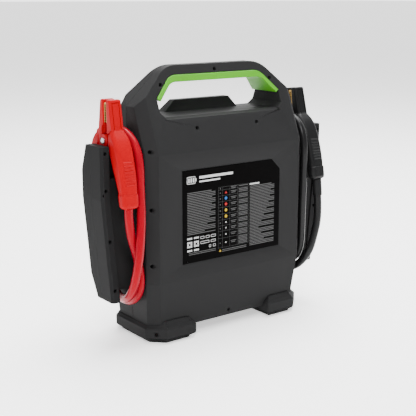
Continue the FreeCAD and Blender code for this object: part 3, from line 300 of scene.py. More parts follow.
class Look(Enum):
    """Every finish on the pack."""

    CASE = Finish("case_charcoal_moulding", (0.0145, 0.0145, 0.0148), rough=0.5, marks=0.02,
                  edge_light=0.35, shine=0.03)
    HOLSTER = Finish("holster_black_moulding", (0.006, 0.006, 0.0061), rough=0.5, shine=0.06)
    SOLE = Finish("sole_black_rubber", (0.003, 0.003, 0.003), rough=0.8, grain=500.0)
    GRIP = Finish("grip_green_soft_rubber", (0.048, 0.23, 0.003), rough=0.5, grain=1400.0,
                  edge_light=0.1)
    FILM = Finish("label_black_film", (0.0004, 0.0003, 0.0003), rough=0.55, grain=1500.0,
                  edge_light=0.0, marks=0.01, shine=0.02)
    SCREW = Finish("screw_black_oxide", (0.004, 0.004, 0.004), rough=0.35, metal=1.0)
    RED = Finish("clamp_red_plastic", (0.3, 0.0, 0.004), rough=0.36,
                 marks=0.0, edge_light=0.0, shine=0.1, tint=(1.0, 0.0, 0.0))
    BLACK = Finish("clamp_black_plastic", (0.005, 0.005, 0.0052), rough=0.32, shine=0.1)
    # Same charcoal moulding as the case, painted darker as shade on the wings' sides, with a
    # stronger painted highlight on their edges.
    WING = Finish("charcoal_moulding_wing_shade", (0.0105, 0.0105, 0.0108), rough=0.5, marks=0.02,
                  edge_light=0.5, shine=0.02)
    BRASS = Finish("tooth_strip_brass", (0.32, 0.2, 0.06), rough=0.35, metal=1.0)
    STEEL = Finish("bright_steel", (0.4, 0.4, 0.41), rough=0.22, metal=1.0)
    RED_CORD = Finish("cord_red_sheath", (0.23, 0.0, 0.008), rough=0.28, grain=2000.0,
                      grain_depth=0.00001, marks=0.0, edge_light=0.0, shine=0.35,
                      tint=(1.0, 0.0, 0.0))
    BLACK_CORD = Finish("cord_black_sheath", (0.004, 0.004, 0.0042), rough=0.28, grain=2000.0,
                        grain_depth=0.00001, edge_light=0.0, shine=0.16)
    CELL = Finish("cell_foil_pouch", (0.25, 0.26, 0.29), rough=0.35, metal=1.0, grain=120.0,
                  grain_depth=0.0002)
    INNER = Finish("inner_black_moulding", (0.015, 0.015, 0.015), rough=0.6)
    BOARD = Finish("board_green_mask", (0.006, 0.05, 0.018), rough=0.3, grain=300.0)
    COPPER = Finish("copper_alloy", (0.45, 0.2, 0.1), rough=0.3, metal=1.0)
    SOCKET = Finish("socket_stamped_steel", (0.3, 0.3, 0.31), rough=0.3, metal=1.0)
    SCREEN_LIT = Finish("screen_lit_bars", (0.12, 0.5, 0.2), rough=0.5, glow=0.6,
                        edge_light=0.0)
    TINTED = Finish("screen_tinted_glass", (0.002, 0.002, 0.0025), rough=0.12, shine=0.3,
                    grain_depth=0.0, edge_light=0.0)
    LENS = Finish("clear_lens", (0.9, 0.93, 0.95), rough=0.08, clear=1.0, grain_depth=0.0)
    SCREEN = Finish("screen_dark_glass", (0.002, 0.002, 0.003), rough=0.1, coat=0.3,
                    grain_depth=0.0)
    MIRROR = Finish("reflector_bright_coat", (0.7, 0.7, 0.71), rough=0.12, metal=1.0)
    BUTTON = Finish("button_green_satin", (0.036, 0.19, 0.003), rough=0.4)
    INK_GREY = ink("grey_text", 0.055, 0.055, 0.055)
    INK_LINE = ink("grey_line", 0.035, 0.035, 0.035)
    INK_WHITE = ink("white", 0.42, 0.42, 0.42)
    INK_RED = ink("red", 0.3, 0.004, 0.004)
    INK_BLUE = ink("blue", 0.01, 0.09, 0.28)
    INK_YELLOW = ink("yellow", 0.34, 0.22, 0.006)


NODE_LOOKS: dict[Look, tuple[str, ...]] = {
    Look.CASE: ("front_shell", "rear_shell", "port_door", "left_foot", "right_foot"),
    Look.WING: ("left_wing_front", "left_wing_rear", "right_wing_front", "right_wing_rear"),
    Look.HOLSTER: ("left_holster", "right_holster", "port_panel", "selector_knob"),
    Look.SOLE: ("left_sole", "right_sole"),
    Look.GRIP: ("handle_grip",),
    Look.FILM: ("rear_label",),
    Look.SCREW: ("case_screws", "foot_screws", "wing_screws", "holster_bolts"),
    Look.RED: ("red_clamp_cable_half", "red_clamp_lever_half", "left_cable_boot"),
    Look.BLACK: ("black_clamp_cable_half", "black_clamp_lever_half", "right_cable_boot",
                 "black_cable_sleeve"),
    Look.BRASS: ("red_clamp_cable_teeth", "red_clamp_lever_teeth",
                 "black_clamp_cable_teeth", "black_clamp_lever_teeth"),
    Look.STEEL: ("red_clamp_rivet", "black_clamp_rivet", "red_clamp_spring",
                 "black_clamp_spring", "door_pin"),
    Look.RED_CORD: ("red_cable", "red_lead"),
    Look.BLACK_CORD: ("black_cable", "black_lead"),
    Look.CELL: ("battery_cells",),
    Look.INNER: ("battery_tray", "power_relays", "button_switches", "selector_switch",
                 "fuse_link"),
    Look.BOARD: ("main_board", "control_board", "lamp_board"),
    Look.COPPER: ("busbars", "cell_tabs", "lead_lugs"),
    Look.SOCKET: ("port_sockets",),
    Look.LENS: ("lamp_lens",),
    Look.TINTED: ("screen_lens",),
    Look.SCREEN: ("screen_module",),
    Look.MIRROR: ("lamp_reflector",),
    Look.BUTTON: ("power_button", "boost_button"),
}


class Paintbox:
    """Makes each finish once and puts it on pieces."""

    def __init__(self) -> None:
        """Build the shared groups."""
        self.effects = Effects()
        self.made: dict[Look, bpy.types.Material] = {}

    def material(self, look: Look) -> bpy.types.Material:
        """The material of a finish, made the first time it is asked for."""
        if look not in self.made:
            self.made[look] = look.value.paint(self.effects)
        return self.made[look]

    def cover(self, piece: Piece, look: Look) -> None:
        """Give a whole piece one finish."""
        piece.data.materials.clear()
        piece.data.materials.append(self.material(look))


# ------ cords
@dataclass
class BoosterCable:
    """Heavy cable wound round its holster, from the boot to the parked clamp."""

    name: str
    node: str
    look: Look
    slot: str
    route: Sequence[Point]
    length: float
    carried: Sequence[str]
    diameter: float = 0.0124

    def build(self, paint: Paintbox) -> Piece:
        """Make the cable as one smooth spline.

        Args:
            paint: the finishes.

        Returns:
            The cable.
        """
        line = bpy.data.curves.new(self.name, "CURVE")
        line.dimensions = "3D"
        line.bevel_depth = self.diameter / 2
        line.bevel_resolution = 7
        line.resolution_u = 10
        line.use_fill_caps = True
        spline = line.splines.new("NURBS")
        spline.points.add(len(self.route) - 1)
        for point, place in zip(spline.points, self.route):
            point.co = (*place, 1.0)
        spline.order_u = 3
        spline.use_endpoint_u = True
        cable = bpy.data.objects.new(self.name, line)
        bpy.context.scene.collection.objects.link(cable)
        line.materials.append(paint.material(self.look))
        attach(cable, "pack")
        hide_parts(self.node)
        LOG.info("%s: %d points", self.name, len(self.route))
        return cable


RED_ROUTE: tuple[Point, ...] = (
    (-0.158, 0.0375, 0.13), (-0.158, 0.0375, 0.095), (-0.1635, 0.012, 0.069),
    (-0.1685, -0.027, 0.067), (-0.1715, -0.054, 0.094), (-0.168, -0.0635, 0.14),
    (-0.1582, -0.055, 0.19), (-0.1553, -0.0485, 0.234), (-0.155, -0.047, 0.284),
    (-0.1555, -0.0195, 0.3115), (-0.156, 0.02, 0.312), (-0.1555, 0.048, 0.284),
    (-0.1545, 0.053, 0.212), (-0.1545, 0.053, 0.14), (-0.1535, 0.0525, 0.086),
    (-0.1527, 0.025, 0.0585), (-0.1527, -0.017, 0.0585), (-0.1535, -0.0445, 0.086),
    (-0.1553, -0.041, 0.1275), (-0.1774, -0.052, 0.178), (-0.1774, -0.052, 0.21),
)
BLACK_ROUTE: tuple[Point, ...] = (
    (0.158, 0.0375, 0.13), (0.158, 0.0375, 0.0945), (0.1565, 0.0132, 0.07),
    (0.155, -0.0212, 0.07), (0.154, -0.0455, 0.0945), (0.1535, -0.046, 0.15),
    (0.1545, -0.047, 0.214), (0.155, -0.047, 0.284), (0.1555, -0.019, 0.312),
    (0.156, 0.0205, 0.3125), (0.1555, 0.0485, 0.284), (0.1545, 0.053, 0.212),
    (0.1545, 0.053, 0.14), (0.1535, 0.0525, 0.087), (0.153, 0.0225, 0.057),
    (0.1535, -0.027, 0.057), (0.16, -0.057, 0.088), (0.17, -0.0595, 0.12),
    (0.1774, -0.06006, 0.15232), (0.1774, -0.05672, 0.18414),
)


# ------ studio
@dataclass
class Studio:
    """Plain pale floor, soft lights and the camera."""

    eye: Point = (-0.8287, -1.1017, 0.4964)
    look: Point = (0.58521, 0.77878, -0.22592)
    lens: float = 79.03
    floor_half: float = 80.0

    def build(self) -> None:
        """Set up everything round the object."""
        self._floor()
        self._world()
        self._lights()
        self._camera()

    def _floor(self) -> None:
        """Pale floor under the soles."""
        Bench.clear()
        bpy.ops.mesh.primitive_plane_add(size=2 * self.floor_half)
        floor = Bench.settle("studio_floor")
        material = bpy.data.materials.new("studio_floor_pale")
        material.use_nodes = True
        fill(material.node_tree.nodes["Principled BSDF"],
             {"Base Color": WHITE, "Roughness": 0.9, "Emission Color": WHITE,
              "Emission Strength": 0.8})
        floor.data.materials.append(material)

    @staticmethod
    def _world() -> None:
        """Bright backdrop behind the pack, dim room behind the viewer."""
        world = bpy.data.worlds.new("studio_surround")
        world.use_nodes = True
        tree, links = world.node_tree, world.node_tree.links
        back = fill(tree.nodes["Background"], {"Color": WHITE})
        way = add_node(tree, "ShaderNodeTexCoord")
        facing = add_node(tree, "ShaderNodeVectorMath", {1: (0.6, 0.8, 0.0)},
                          operation="DOT_PRODUCT")
        level = add_node(tree, "ShaderNodeMapRange", {"From Min": 0.5, "From Max": 0.85,
                                                      "To Min": 0.8, "To Max": 3.2})
        links.new(way.outputs["Generated"], facing.inputs[0])
        links.new(facing.outputs["Value"], level.inputs["Value"])
        links.new(level.outputs["Result"], back.inputs["Strength"])
        bpy.context.scene.world = world

    @staticmethod
    def _lights() -> None:
        """Two large soft lights: one beside the camera and one overhead."""
        for name, place, size, power in (
                ("key_softbox", (-1.25, -1.6, 1.9), 1.0, 58.0),
                ("top_softbox", (0.5, 0.3, 2.4), 2.0, 190.0)):
            lamp = bpy.data.lights.new(name, "AREA")
            lamp.size = size
            lamp.energy = power
            holder = bpy.data.objects.new(name, lamp)
            bpy.context.scene.collection.objects.link(holder)
            holder.location = place
            aim = Vector((0.0, 0.0, 0.2)) - Vector(place)
            holder.rotation_euler = aim.to_track_quat("-Z", "Y").to_euler()

    def _camera(self) -> None:
        """Camera at the standing viewer's eye."""
        data = bpy.data.cameras.new("viewer")
        data.lens = self.lens
        data.sensor_width = 36.0
        camera = bpy.data.objects.new("viewer", data)
        bpy.context.scene.collection.objects.link(camera)
        camera.location = self.eye
        camera.rotation_euler = Vector(self.look).to_track_quat("-Z", "Y").to_euler()
        bpy.context.scene.camera = camera


class Bench:
    """Hand-modelling moves that the sub-assemblies share."""

    @staticmethod
    def clear() -> None:
        """Leave edit mode and deselect everything."""
        if bpy.context.object and bpy.context.object.mode != "OBJECT":
            bpy.ops.object.mode_set(mode="OBJECT")
        bpy.ops.object.select_all(action="DESELECT")

    @staticmethod
    def grab(piece: Piece) -> None:
        """Make one object the only selected and active one."""
        Bench.clear()
        piece.select_set(True)
        bpy.context.view_layer.objects.active = piece

    @staticmethod
    def block(name: str, low: Point, high: Point) -> Piece:
        """Cuboid between two corners.

        Args:
            name: object name.
            low: lowest corner.
            high: highest corner.

        Returns:
            The new object, its place in its mesh.
        """
        Bench.clear()
        middle = [(a + b) / 2 for a, b in zip(low, high)]
        size = [b - a for a, b in zip(low, high)]
        bpy.ops.mesh.primitive_cube_add(size=1.0, location=middle, scale=size)
        return Bench.settle(name)

    @staticmethod
    def barrel(name: str, middle: Point, radius: float, depth: float,
               turn: Point = (0.0, 0.0, 0.0), sides: int = 40) -> Piece:
        """Cylinder at a place.

        Args:
            name: object name.
            middle: its centre.
            radius: its radius.
            depth: its length.
            turn: rotation that brings Z to its axis, in radians.
            sides: number of sides.

        Returns:
            The new object, its place in its mesh.
        """
        Bench.clear()
        bpy.ops.mesh.primitive_cylinder_add(vertices=sides, radius=radius, depth=depth,
                                            location=middle, rotation=turn)
        return Bench.settle(name)

    @staticmethod
    def settle(name: str) -> Piece:
        """Name the new object and put its place into its mesh."""
        piece = bpy.context.object
        piece.name = name
        bpy.ops.object.transform_apply(location=True, rotation=True, scale=True)
        return piece

    @staticmethod
    def edit(piece: Piece) -> None:
        """Go to edit mode with the whole piece selected."""
        Bench.grab(piece)
        bpy.ops.object.mode_set(mode="EDIT")
        bpy.ops.mesh.select_all(action="SELECT")

    @staticmethod
    def pick(piece: Piece, kind: str, test: Callable[[object], bool]) -> None:
        """Go to edit mode with only the parts of a mesh that pass a test selected.

        Args:
            piece: the object to edit.
            kind: VERT, EDGE or FACE.
            test: called with each corner, edge or face.
        """
        Bench.edit(piece)
        bpy.ops.mesh.select_mode(type=kind)
        bpy.ops.mesh.select_all(action="DESELECT")
        Bench.done()
        mesh = piece.data
        for part in {"VERT": mesh.vertices, "EDGE": mesh.edges, "FACE": mesh.polygons}[kind]:
            part.select = test(part)
        bpy.ops.object.mode_set(mode="EDIT")

    @staticmethod
    def shift_points(piece: Piece, test: PlaceTest, move: Point) -> None:
        """Move the corners of a piece that pass a test.

        Args:
            piece: the object to edit.
            test: called with a corner's place.
            move: how far to move them, in millimetres.
        """
        Bench.pick(piece, "VERT", lambda corner: test(corner.co))
        bpy.ops.transform.translate(value=tuple(m * MM for m in move))
        Bench.done()

    @staticmethod
    def done() -> None:
        """Back to object mode."""
        bpy.ops.object.mode_set(mode="OBJECT")

    @staticmethod
    def round_edges(piece: Piece, width: float, segments: int = 2,
                    angle: float = 35.0, clamp: bool = False, smooth: float = 19.0) -> None:
        """Round every edge sharper than an angle and smooth the faces.

        Args:
            piece: the object.
            width: bevel width in metres.
            segments: number of strips in the round.
            angle: sharpness limit in degrees.
            clamp: stop strips from running into each other.
            smooth: edges flatter than this are shaded smooth, in degrees.
        """
        Bench.grab(piece)
        bevel = piece.modifiers.new("edge_round", "BEVEL")
        bevel.width = width
        bevel.segments = segments
        bevel.limit_method = "ANGLE"
        bevel.angle_limit = math.radians(angle)
        bevel.use_clamp_overlap = clamp
        bevel.miter_outer = "MITER_ARC"
        bevel.harden_normals = True
        bpy.ops.object.shade_smooth_by_angle(angle=math.radians(smooth), keep_sharp_edges=True)
        bpy.ops.object.modifier_apply(modifier=bevel.name)

    @staticmethod
    def outward(piece: Piece) -> None:
        """Merge doubles and point every face outwards."""
        Bench.edit(piece)
        bpy.ops.mesh.remove_doubles(threshold=0.000002)
        bpy.ops.mesh.normals_make_consistent(inside=False)
        Bench.done()

    @staticmethod
    def join(pieces: Sequence[Piece], name: str) -> Piece:
        """Join pieces into the first one and rename it."""
        Bench.grab(pieces[0])
        for piece in pieces[1:]:
            piece.select_set(True)
        bpy.ops.object.join()
        pieces[0].name = name
        return pieces[0]

    @staticmethod
    def twin(piece: Piece, name: str) -> Piece:
        """Copy of an object with its own mesh."""
        copy = piece.copy()
        copy.data = piece.data.copy()
        copy.name = name
        bpy.context.scene.collection.objects.link(copy)
        return copy

    @staticmethod
    def place(piece: Piece, matrix: Matrix) -> None:
        """Move a mesh to its place and mend its faces if it was mirrored."""
        piece.data.transform(matrix)
        if matrix.determinant() < 0:
            Bench.outward(piece)


@dataclass
class RoundedShells:
    """CAD pieces whose shape is right, given rounded edges on a merged copy."""

    frame: dict
    bend_z: float = 0.092
    rib_reach: tuple[float, float] = (0.152, 0.191)
    rib_low: tuple[float, float] = (-0.0150, 0.245)
    rib_high: tuple[float, float] = (-0.0095, 0.286)

    def soften(self, node: str, width: float, segments: int = 2,
               angle: float = 20.0) -> Piece:
        """Copy a CAD piece, merge it, round its edges and stand it in for the piece.

        Args:
            node: CAD node name.
            width: round of its edges, in metres.
            segments: strips in each round.
            angle: edges sharper than this are rounded.

        Returns:
            The finished copy.
        """
        source = self.frame["nodes"][node]
        piece = bpy.data.objects.new(f"{node}_finished", source.data.copy())
        bpy.context.scene.collection.objects.link(piece)
        Bench.edit(piece)
        bpy.ops.mesh.remove_doubles(threshold=0.000002)
        if node in PLAIN_FACED:
            bpy.ops.mesh.dissolve_limited(angle_limit=math.radians(0.1))
        Bench.done()
        if node in PLAIN_FACED:
            self._parking_rib(piece)
        if node.endswith("_shell"):
            self._crease(piece)
        Bench.round_edges(piece, width, segments, angle)
        stand_in(self.frame, piece, node)
        return piece

    def _crease(self, piece: Piece) -> None:
        """Keep the shallow bend where the case starts to narrow as a clean line."""
        def bends(edge: bpy.types.MeshEdge) -> bool:
            """Whether an edge is level, on the bend and not tiny."""
            a, b = (piece.data.vertices[k].co for k in edge.vertices)
            level = abs(a.z - b.z) < 0.0002 and abs(a.z - self.bend_z) < 0.0006
            return level and (a - b).length > 0.004

        Bench.pick(piece, "EDGE", bends)
        bpy.ops.mesh.mark_sharp()
        Bench.done()

    def _parking_rib(self, piece: Piece) -> None:
        """Thin upright rib on a holster's top, between the clamp's handles."""
        side = math.copysign(1.0, sum(v.co.x for v in piece.data.vertices))
        near, far = sorted(side * x for x in self.rib_reach)
        rib = Bench.block("parking_rib", (near, *self.rib_low), (far, *self.rib_high))
        rib.data.materials.append(piece.data.materials[0])
        Bench.join([piece, rib], piece.name)


def stand_in(frame: dict, piece: Piece, node: str) -> None:
    """Put a piece in a CAD node's place, on its body, and hide the node."""
    fix_like(frame, piece, node)
    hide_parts(node)


def fix_like(frame: dict, piece: Piece, node: str) -> None:
    """Fix a piece to the body of a CAD node."""
    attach(piece, frame["nodes"][node]["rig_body"])


# ------ label print
@dataclass
class LabelPrint:
    """Generic print on the label: plain text lines, a table with symbols and a code block."""

    paint: Paintbox
    y: float = -0.06052
    thickness: float = 0.00004
    line_height: float = 1.15
    rule_half: float = 0.16
    code_cells: int = 7
    code_pitch: float = 3.05
    code_cell: float = 2.7
    rows = (222.4, 218.0, 209.3, 200.4, 191.6, 181.5, 172.6, 163.7, 155.3, 144.5, 130.0)
    columns = (-27.1, -19.3, -5.7, 9.0, 31.2)
    heading_bars = ((-68.8, -67.2, 236.8, 241.2), (-62.0, 0.0, 239.8, 243.6),
                    (-62.0, -24.0, 234.4, 236.8), (32.4, 51.2, 219.2, 221.6))
    mark_boxes = ((-60.0, 149.5, 7.0), (-50.5, 149.5, 7.0), (-41.0, 149.5, 9.0),
                  (-60.0, 142.0, 16.0), (-41.0, 142.0, 9.0), (-44.5, 134.6, 4.0),
                  (-37.0, 134.6, 5.0))
    signs = (("label_sign_1", -13.0, 213.4, 2.6, 3, Look.INK_RED, 0.0),
             ("label_sign_2", -13.0, 204.9, 2.4, 28, Look.INK_BLUE, 0.0),
             ("label_sign_3", -12.9, 196.0, 2.8, 4, Look.INK_RED, 0.0),
             ("label_sign_4", -12.9, 186.9, 2.6, 6, Look.INK_YELLOW, math.pi / 6),
             ("label_sign_5", -12.8, 177.4, 2.8, 5, Look.INK_YELLOW, 0.0),
             *((f"label_dot_{k}", -12.8, z, 1.2, 20, Look.INK_WHITE, 0.0)
               for k, z in enumerate((168.2, 159.6, 149.9, 137.2), 1)),
             ("label_sign_6", -23.6, 125.2, 2.4, 3, Look.INK_YELLOW, 0.0))

    def build(self) -> None:
        """Make every group of print, each begun as a hairline near the film's lower edge."""
        for name, look, draw in (("label_grey_print", Look.INK_GREY, self._text),
                                 ("label_table_lines", Look.INK_LINE, self._grid),
                                 ("label_white_print", Look.INK_WHITE, self._white)):
            group = Bench.block(name, (-84.0 * MM, self.y - self.thickness, 118.6 * MM),
                                (-83.0 * MM, self.y + self.thickness, 118.8 * MM))
            draw(group)
            self._finish(group, look)
        for sign in self.signs:
            self._disc(*sign)

    def _add(self, group: Piece, x0: float, x1: float, z0: float, z1: float) -> None:
        """Add a plate to a group."""
        Bench.grab(group)
        bpy.ops.object.mode_set(mode="EDIT")
        bpy.ops.mesh.primitive_cube_add(
            size=1.0, location=((x0 + x1) / 2 * MM, self.y, (z0 + z1) / 2 * MM),
            scale=((x1 - x0) * MM, 2 * self.thickness, (z1 - z0) * MM))
        Bench.done()

    def _text(self, greys: Piece) -> None:
        """Two ragged columns, two blocks of small print and the table's cells."""
        self._column(greys, -83.6, -31.0, 221.0, 26, 2.46, 5)
        self._column(greys, 33.0, 83.0, 217.6, 40, 2.36, 11)
        for x0, x1, tops in ((-81.0, -31.6, (131.2, 128.8)), (-19.7, 27.0, (127.0, 124.6))):
            for z in tops:
                self._add(greys, x0, x1, z - 1.0, z)
        self._table_text(greys)

    def _column(self, greys: Piece, x0: float, x1: float, top: float, count: int,
                pitch: float, seed: int) -> None:
        """Ragged column of text lines, with a break after every few."""
        for k in range(count):
            z = top - k * pitch
            share = 0.97 if (k * seed) % 4 else 0.35 + 0.5 * abs(math.sin(k * 2.3 + seed))
            self._add(greys, x0, x0 + (x1 - x0) * share, z - self.line_height, z)

    def _table_text(self, greys: Piece) -> None:
        """Short text lines in the table's cells."""
        rows, columns = self.rows, self.columns
        for low, high in zip(rows[1:], rows[:-1]):
            middle = (low + high) / 2
            self._add(greys, columns[0] + 2.6, columns[0] + 4.4, middle - 0.8, middle + 0.8)
            self._add(greys, columns[2] + 2.0, columns[3] - 2.0, middle + 0.4, middle + 1.5)
            self._add(greys, columns[2] + 3.0, columns[3] - 4.0, middle - 1.9, middle - 0.8)
            z = high - 1.2
            while z - 1.1 > low + 0.6:
                self._add(greys, columns[3] + 2.0, columns[4] - 2.4, z - 1.1, z)
                z -= 2.2

    def _grid(self, grid: Piece) -> None:
        """Table lines."""
        rows, columns = self.rows, self.columns
        for z in rows:
            self._add(grid, columns[0], columns[-1], z - self.rule_half, z + self.rule_half)
        for x in columns:
            self._add(grid, x - self.rule_half, x + self.rule_half, rows[-1], rows[0])

    def _box(self, group: Piece, x: float, z: float, wide: float, tall: float,
             line: float) -> None:
        """Outline of a rectangle.

        Args:
            group: the print to add it to.
            x: left edge, in millimetres.
            z: lower edge.
            wide: its width.
            tall: its height.
            line: width of its line.
        """
        self._add(group, x, x + wide, z, z + line)
        self._add(group, x, x + wide, z + tall - line, z + tall)
        self._add(group, x, x + line, z, z + tall)
        self._add(group, x + wide - line, x + wide, z, z + tall)

    def _white(self, white: Piece) -> None:
        """Bright heading bars, a plain battery sign, the block of squares and mark boxes."""
        self._box(white, -84.0, 233.5, 15.0, 11.0, 1.0)
        for k in range(3):
            self._add(white, -81.6 + 4.0 * k, -79.2 + 4.0 * k, 235.8, 242.2)
        for bar in self.heading_bars:
            self._add(white, *bar)
        for k in range(self.code_cells):
            for m in range(self.code_cells):
                if (k * 3 + m * 5 + k * m) % 4 != 1:
                    x, z = -84.0 + self.code_pitch * k, 133.1 + self.code_pitch * m
                    self._add(white, x, x + self.code_cell, z, z + self.code_cell)
        for x, z, wide in self.mark_boxes:
            self._box(white, x, z, wide, 4.0, 0.8)

    def _finish(self, group: Piece, look: Look) -> None:
        """Paint a group and fix it to the pack."""
        self.paint.cover(group, look)
        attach(group, "pack")

    def _disc(self, name: str, x: float, z: float, radius: float, sides: int,
              look: Look, turn: float) -> None:
        """Flat sign with a number of sides.

        Args:
            name: object name.
            x: centre across, in millimetres.
            z: centre height, in millimetres.
            radius: outer radius, in millimetres.
            sides: number of sides.
            look: its ink.
            turn: turn in its plane, in radians.
        """
        sign = Bench.barrel(name, (0.0, 0.0, 0.0), radius * MM, 2 * self.thickness, sides=sides)
        sign.data.transform(Matrix.Translation((x * MM, self.y, z * MM))
                            @ Matrix.Rotation(math.pi / 2, 4, "X")
                            @ Matrix.Rotation(turn, 4, "Z"))
        self._finish(sign, look)


# ------ control side
@dataclass
class ControlFace:
    """Dial marks, knob pointer, screen bars and button signs on the control side."""

    frame: dict
    paint: Paintbox
    knob_z: float = 0.222
    face_y: float = 0.0602
    mark_radius: float = 0.0335
    bend_z: float = 0.270
    lean: float = 0.405

    def build(self) -> None:
        """Make every mark and put it on the body it belongs to."""
        self._dial_marks()
        self._pointer()
        self._button_signs()
        self._screen()

    def _front_of(self, node: str) -> float:
        """How far out of the control side a CAD piece reaches."""
        return max(v.co.y for v in self.frame["nodes"][node].data.vertices)

    def _finish(self, piece: Piece, node: str, look: Look) -> None:
        """Paint a mark and fix it to the body of a CAD piece."""
        self.paint.cover(piece, look)
        fix_like(self.frame, piece, node)

    def _dial_marks(self) -> None:
        """Five short printed marks round the knob's dish."""
        marks = []
        for k in range(5):
            mark = Bench.block(f"dial_mark_{k}", (-0.0007, self.face_y - 0.0001, 0.0),
                               (0.0007, self.face_y + 0.00005, 0.0045))
            mark.data.transform(Matrix.Translation((0.0, 0.0, self.knob_z))
                                @ Matrix.Rotation(math.radians(-60 + 30 * k), 4, "Y")
                                @ Matrix.Translation((0.0, 0.0, self.mark_radius)))
            marks.append(mark)
        self._finish(Bench.join(marks, "dial_marks"), "front_shell", Look.INK_WHITE)

    def _pointer(self) -> None:
        """Printed line on the knob that points at a dial mark."""
        front = self._front_of("selector_knob")
        line = Bench.block("knob_pointer", (-0.0009, front - 0.0004, self.knob_z + 0.004),
                           (0.0009, front + 0.00006, self.knob_z + 0.0185))
        self._finish(line, "selector_knob", Look.INK_WHITE)

    def _button_signs(self) -> None:
        """A ring and bar on the power button, an arrow on the boost button."""
        for node, side in (("power_button", 0), ("boost_button", 1)):
            source = self.frame["nodes"][node].data.vertices
            x = sum(v.co.x for v in source) / len(source)
            z = sum(v.co.z for v in source) / len(source)
            front = self._front_of(node)
            turn = (math.pi / 2, 0.0, 0.0)
            if side:
                sign = Bench.barrel("boost_sign", (0.0, 0.0, 0.0), 0.0042, 0.00012, sides=3)
                sign.data.transform(Matrix.Translation((x, front, z))
                                    @ Matrix.Rotation(-math.pi / 2, 4, "X"))
            else:
                sign = Bench.barrel("power_sign", (x, front, z), 0.0016, 0.00012, turn)
            self._finish(sign, node, Look.INK_WHITE)

    def _screen(self) -> None:
        """Charge bars that glow behind the screen's lens."""
        lens = self.frame["nodes"]["screen_lens"].data.vertices
        long = math.hypot(1.0, self.lean)
        out = Vector((0.0, 1.0 / long, self.lean / long))
        up = Vector((0.0, -self.lean / long, 1.0 / long))
        depth = max(v.co.dot(out) for v in lens)
        foot = Vector((0.0, self.face_y, self.bend_z))
        lay = Matrix((Vector((1.0, 0.0, 0.0)), out, up)).transposed().to_4x4()
        base = foot + out * (depth - foot.dot(out))
        bars = []
        for k in range(5):
            x = 0.030 - 0.0125 * k
            bars.append(Bench.block(f"charge_bar_{k}", (x - 0.0048, -0.00005, 0.022),
                                    (x + 0.0048, 0.00006, 0.040)))
        bars.append(Bench.block("charge_line", (-0.036, -0.00005, 0.046),
                                (0.036, 0.00006, 0.0475)))
        shown = Bench.join(bars, "screen_bars")
        shown.data.transform(Matrix.Translation(base) @ lay)
        self._finish(shown, "screen_lens", Look.SCREEN_LIT)


# ------ clamps
class Side(Enum):
    """Which half of a clamp: the one with the cable, or the lever."""

    CABLE = "cable_half"
    LEVER = "lever_half"


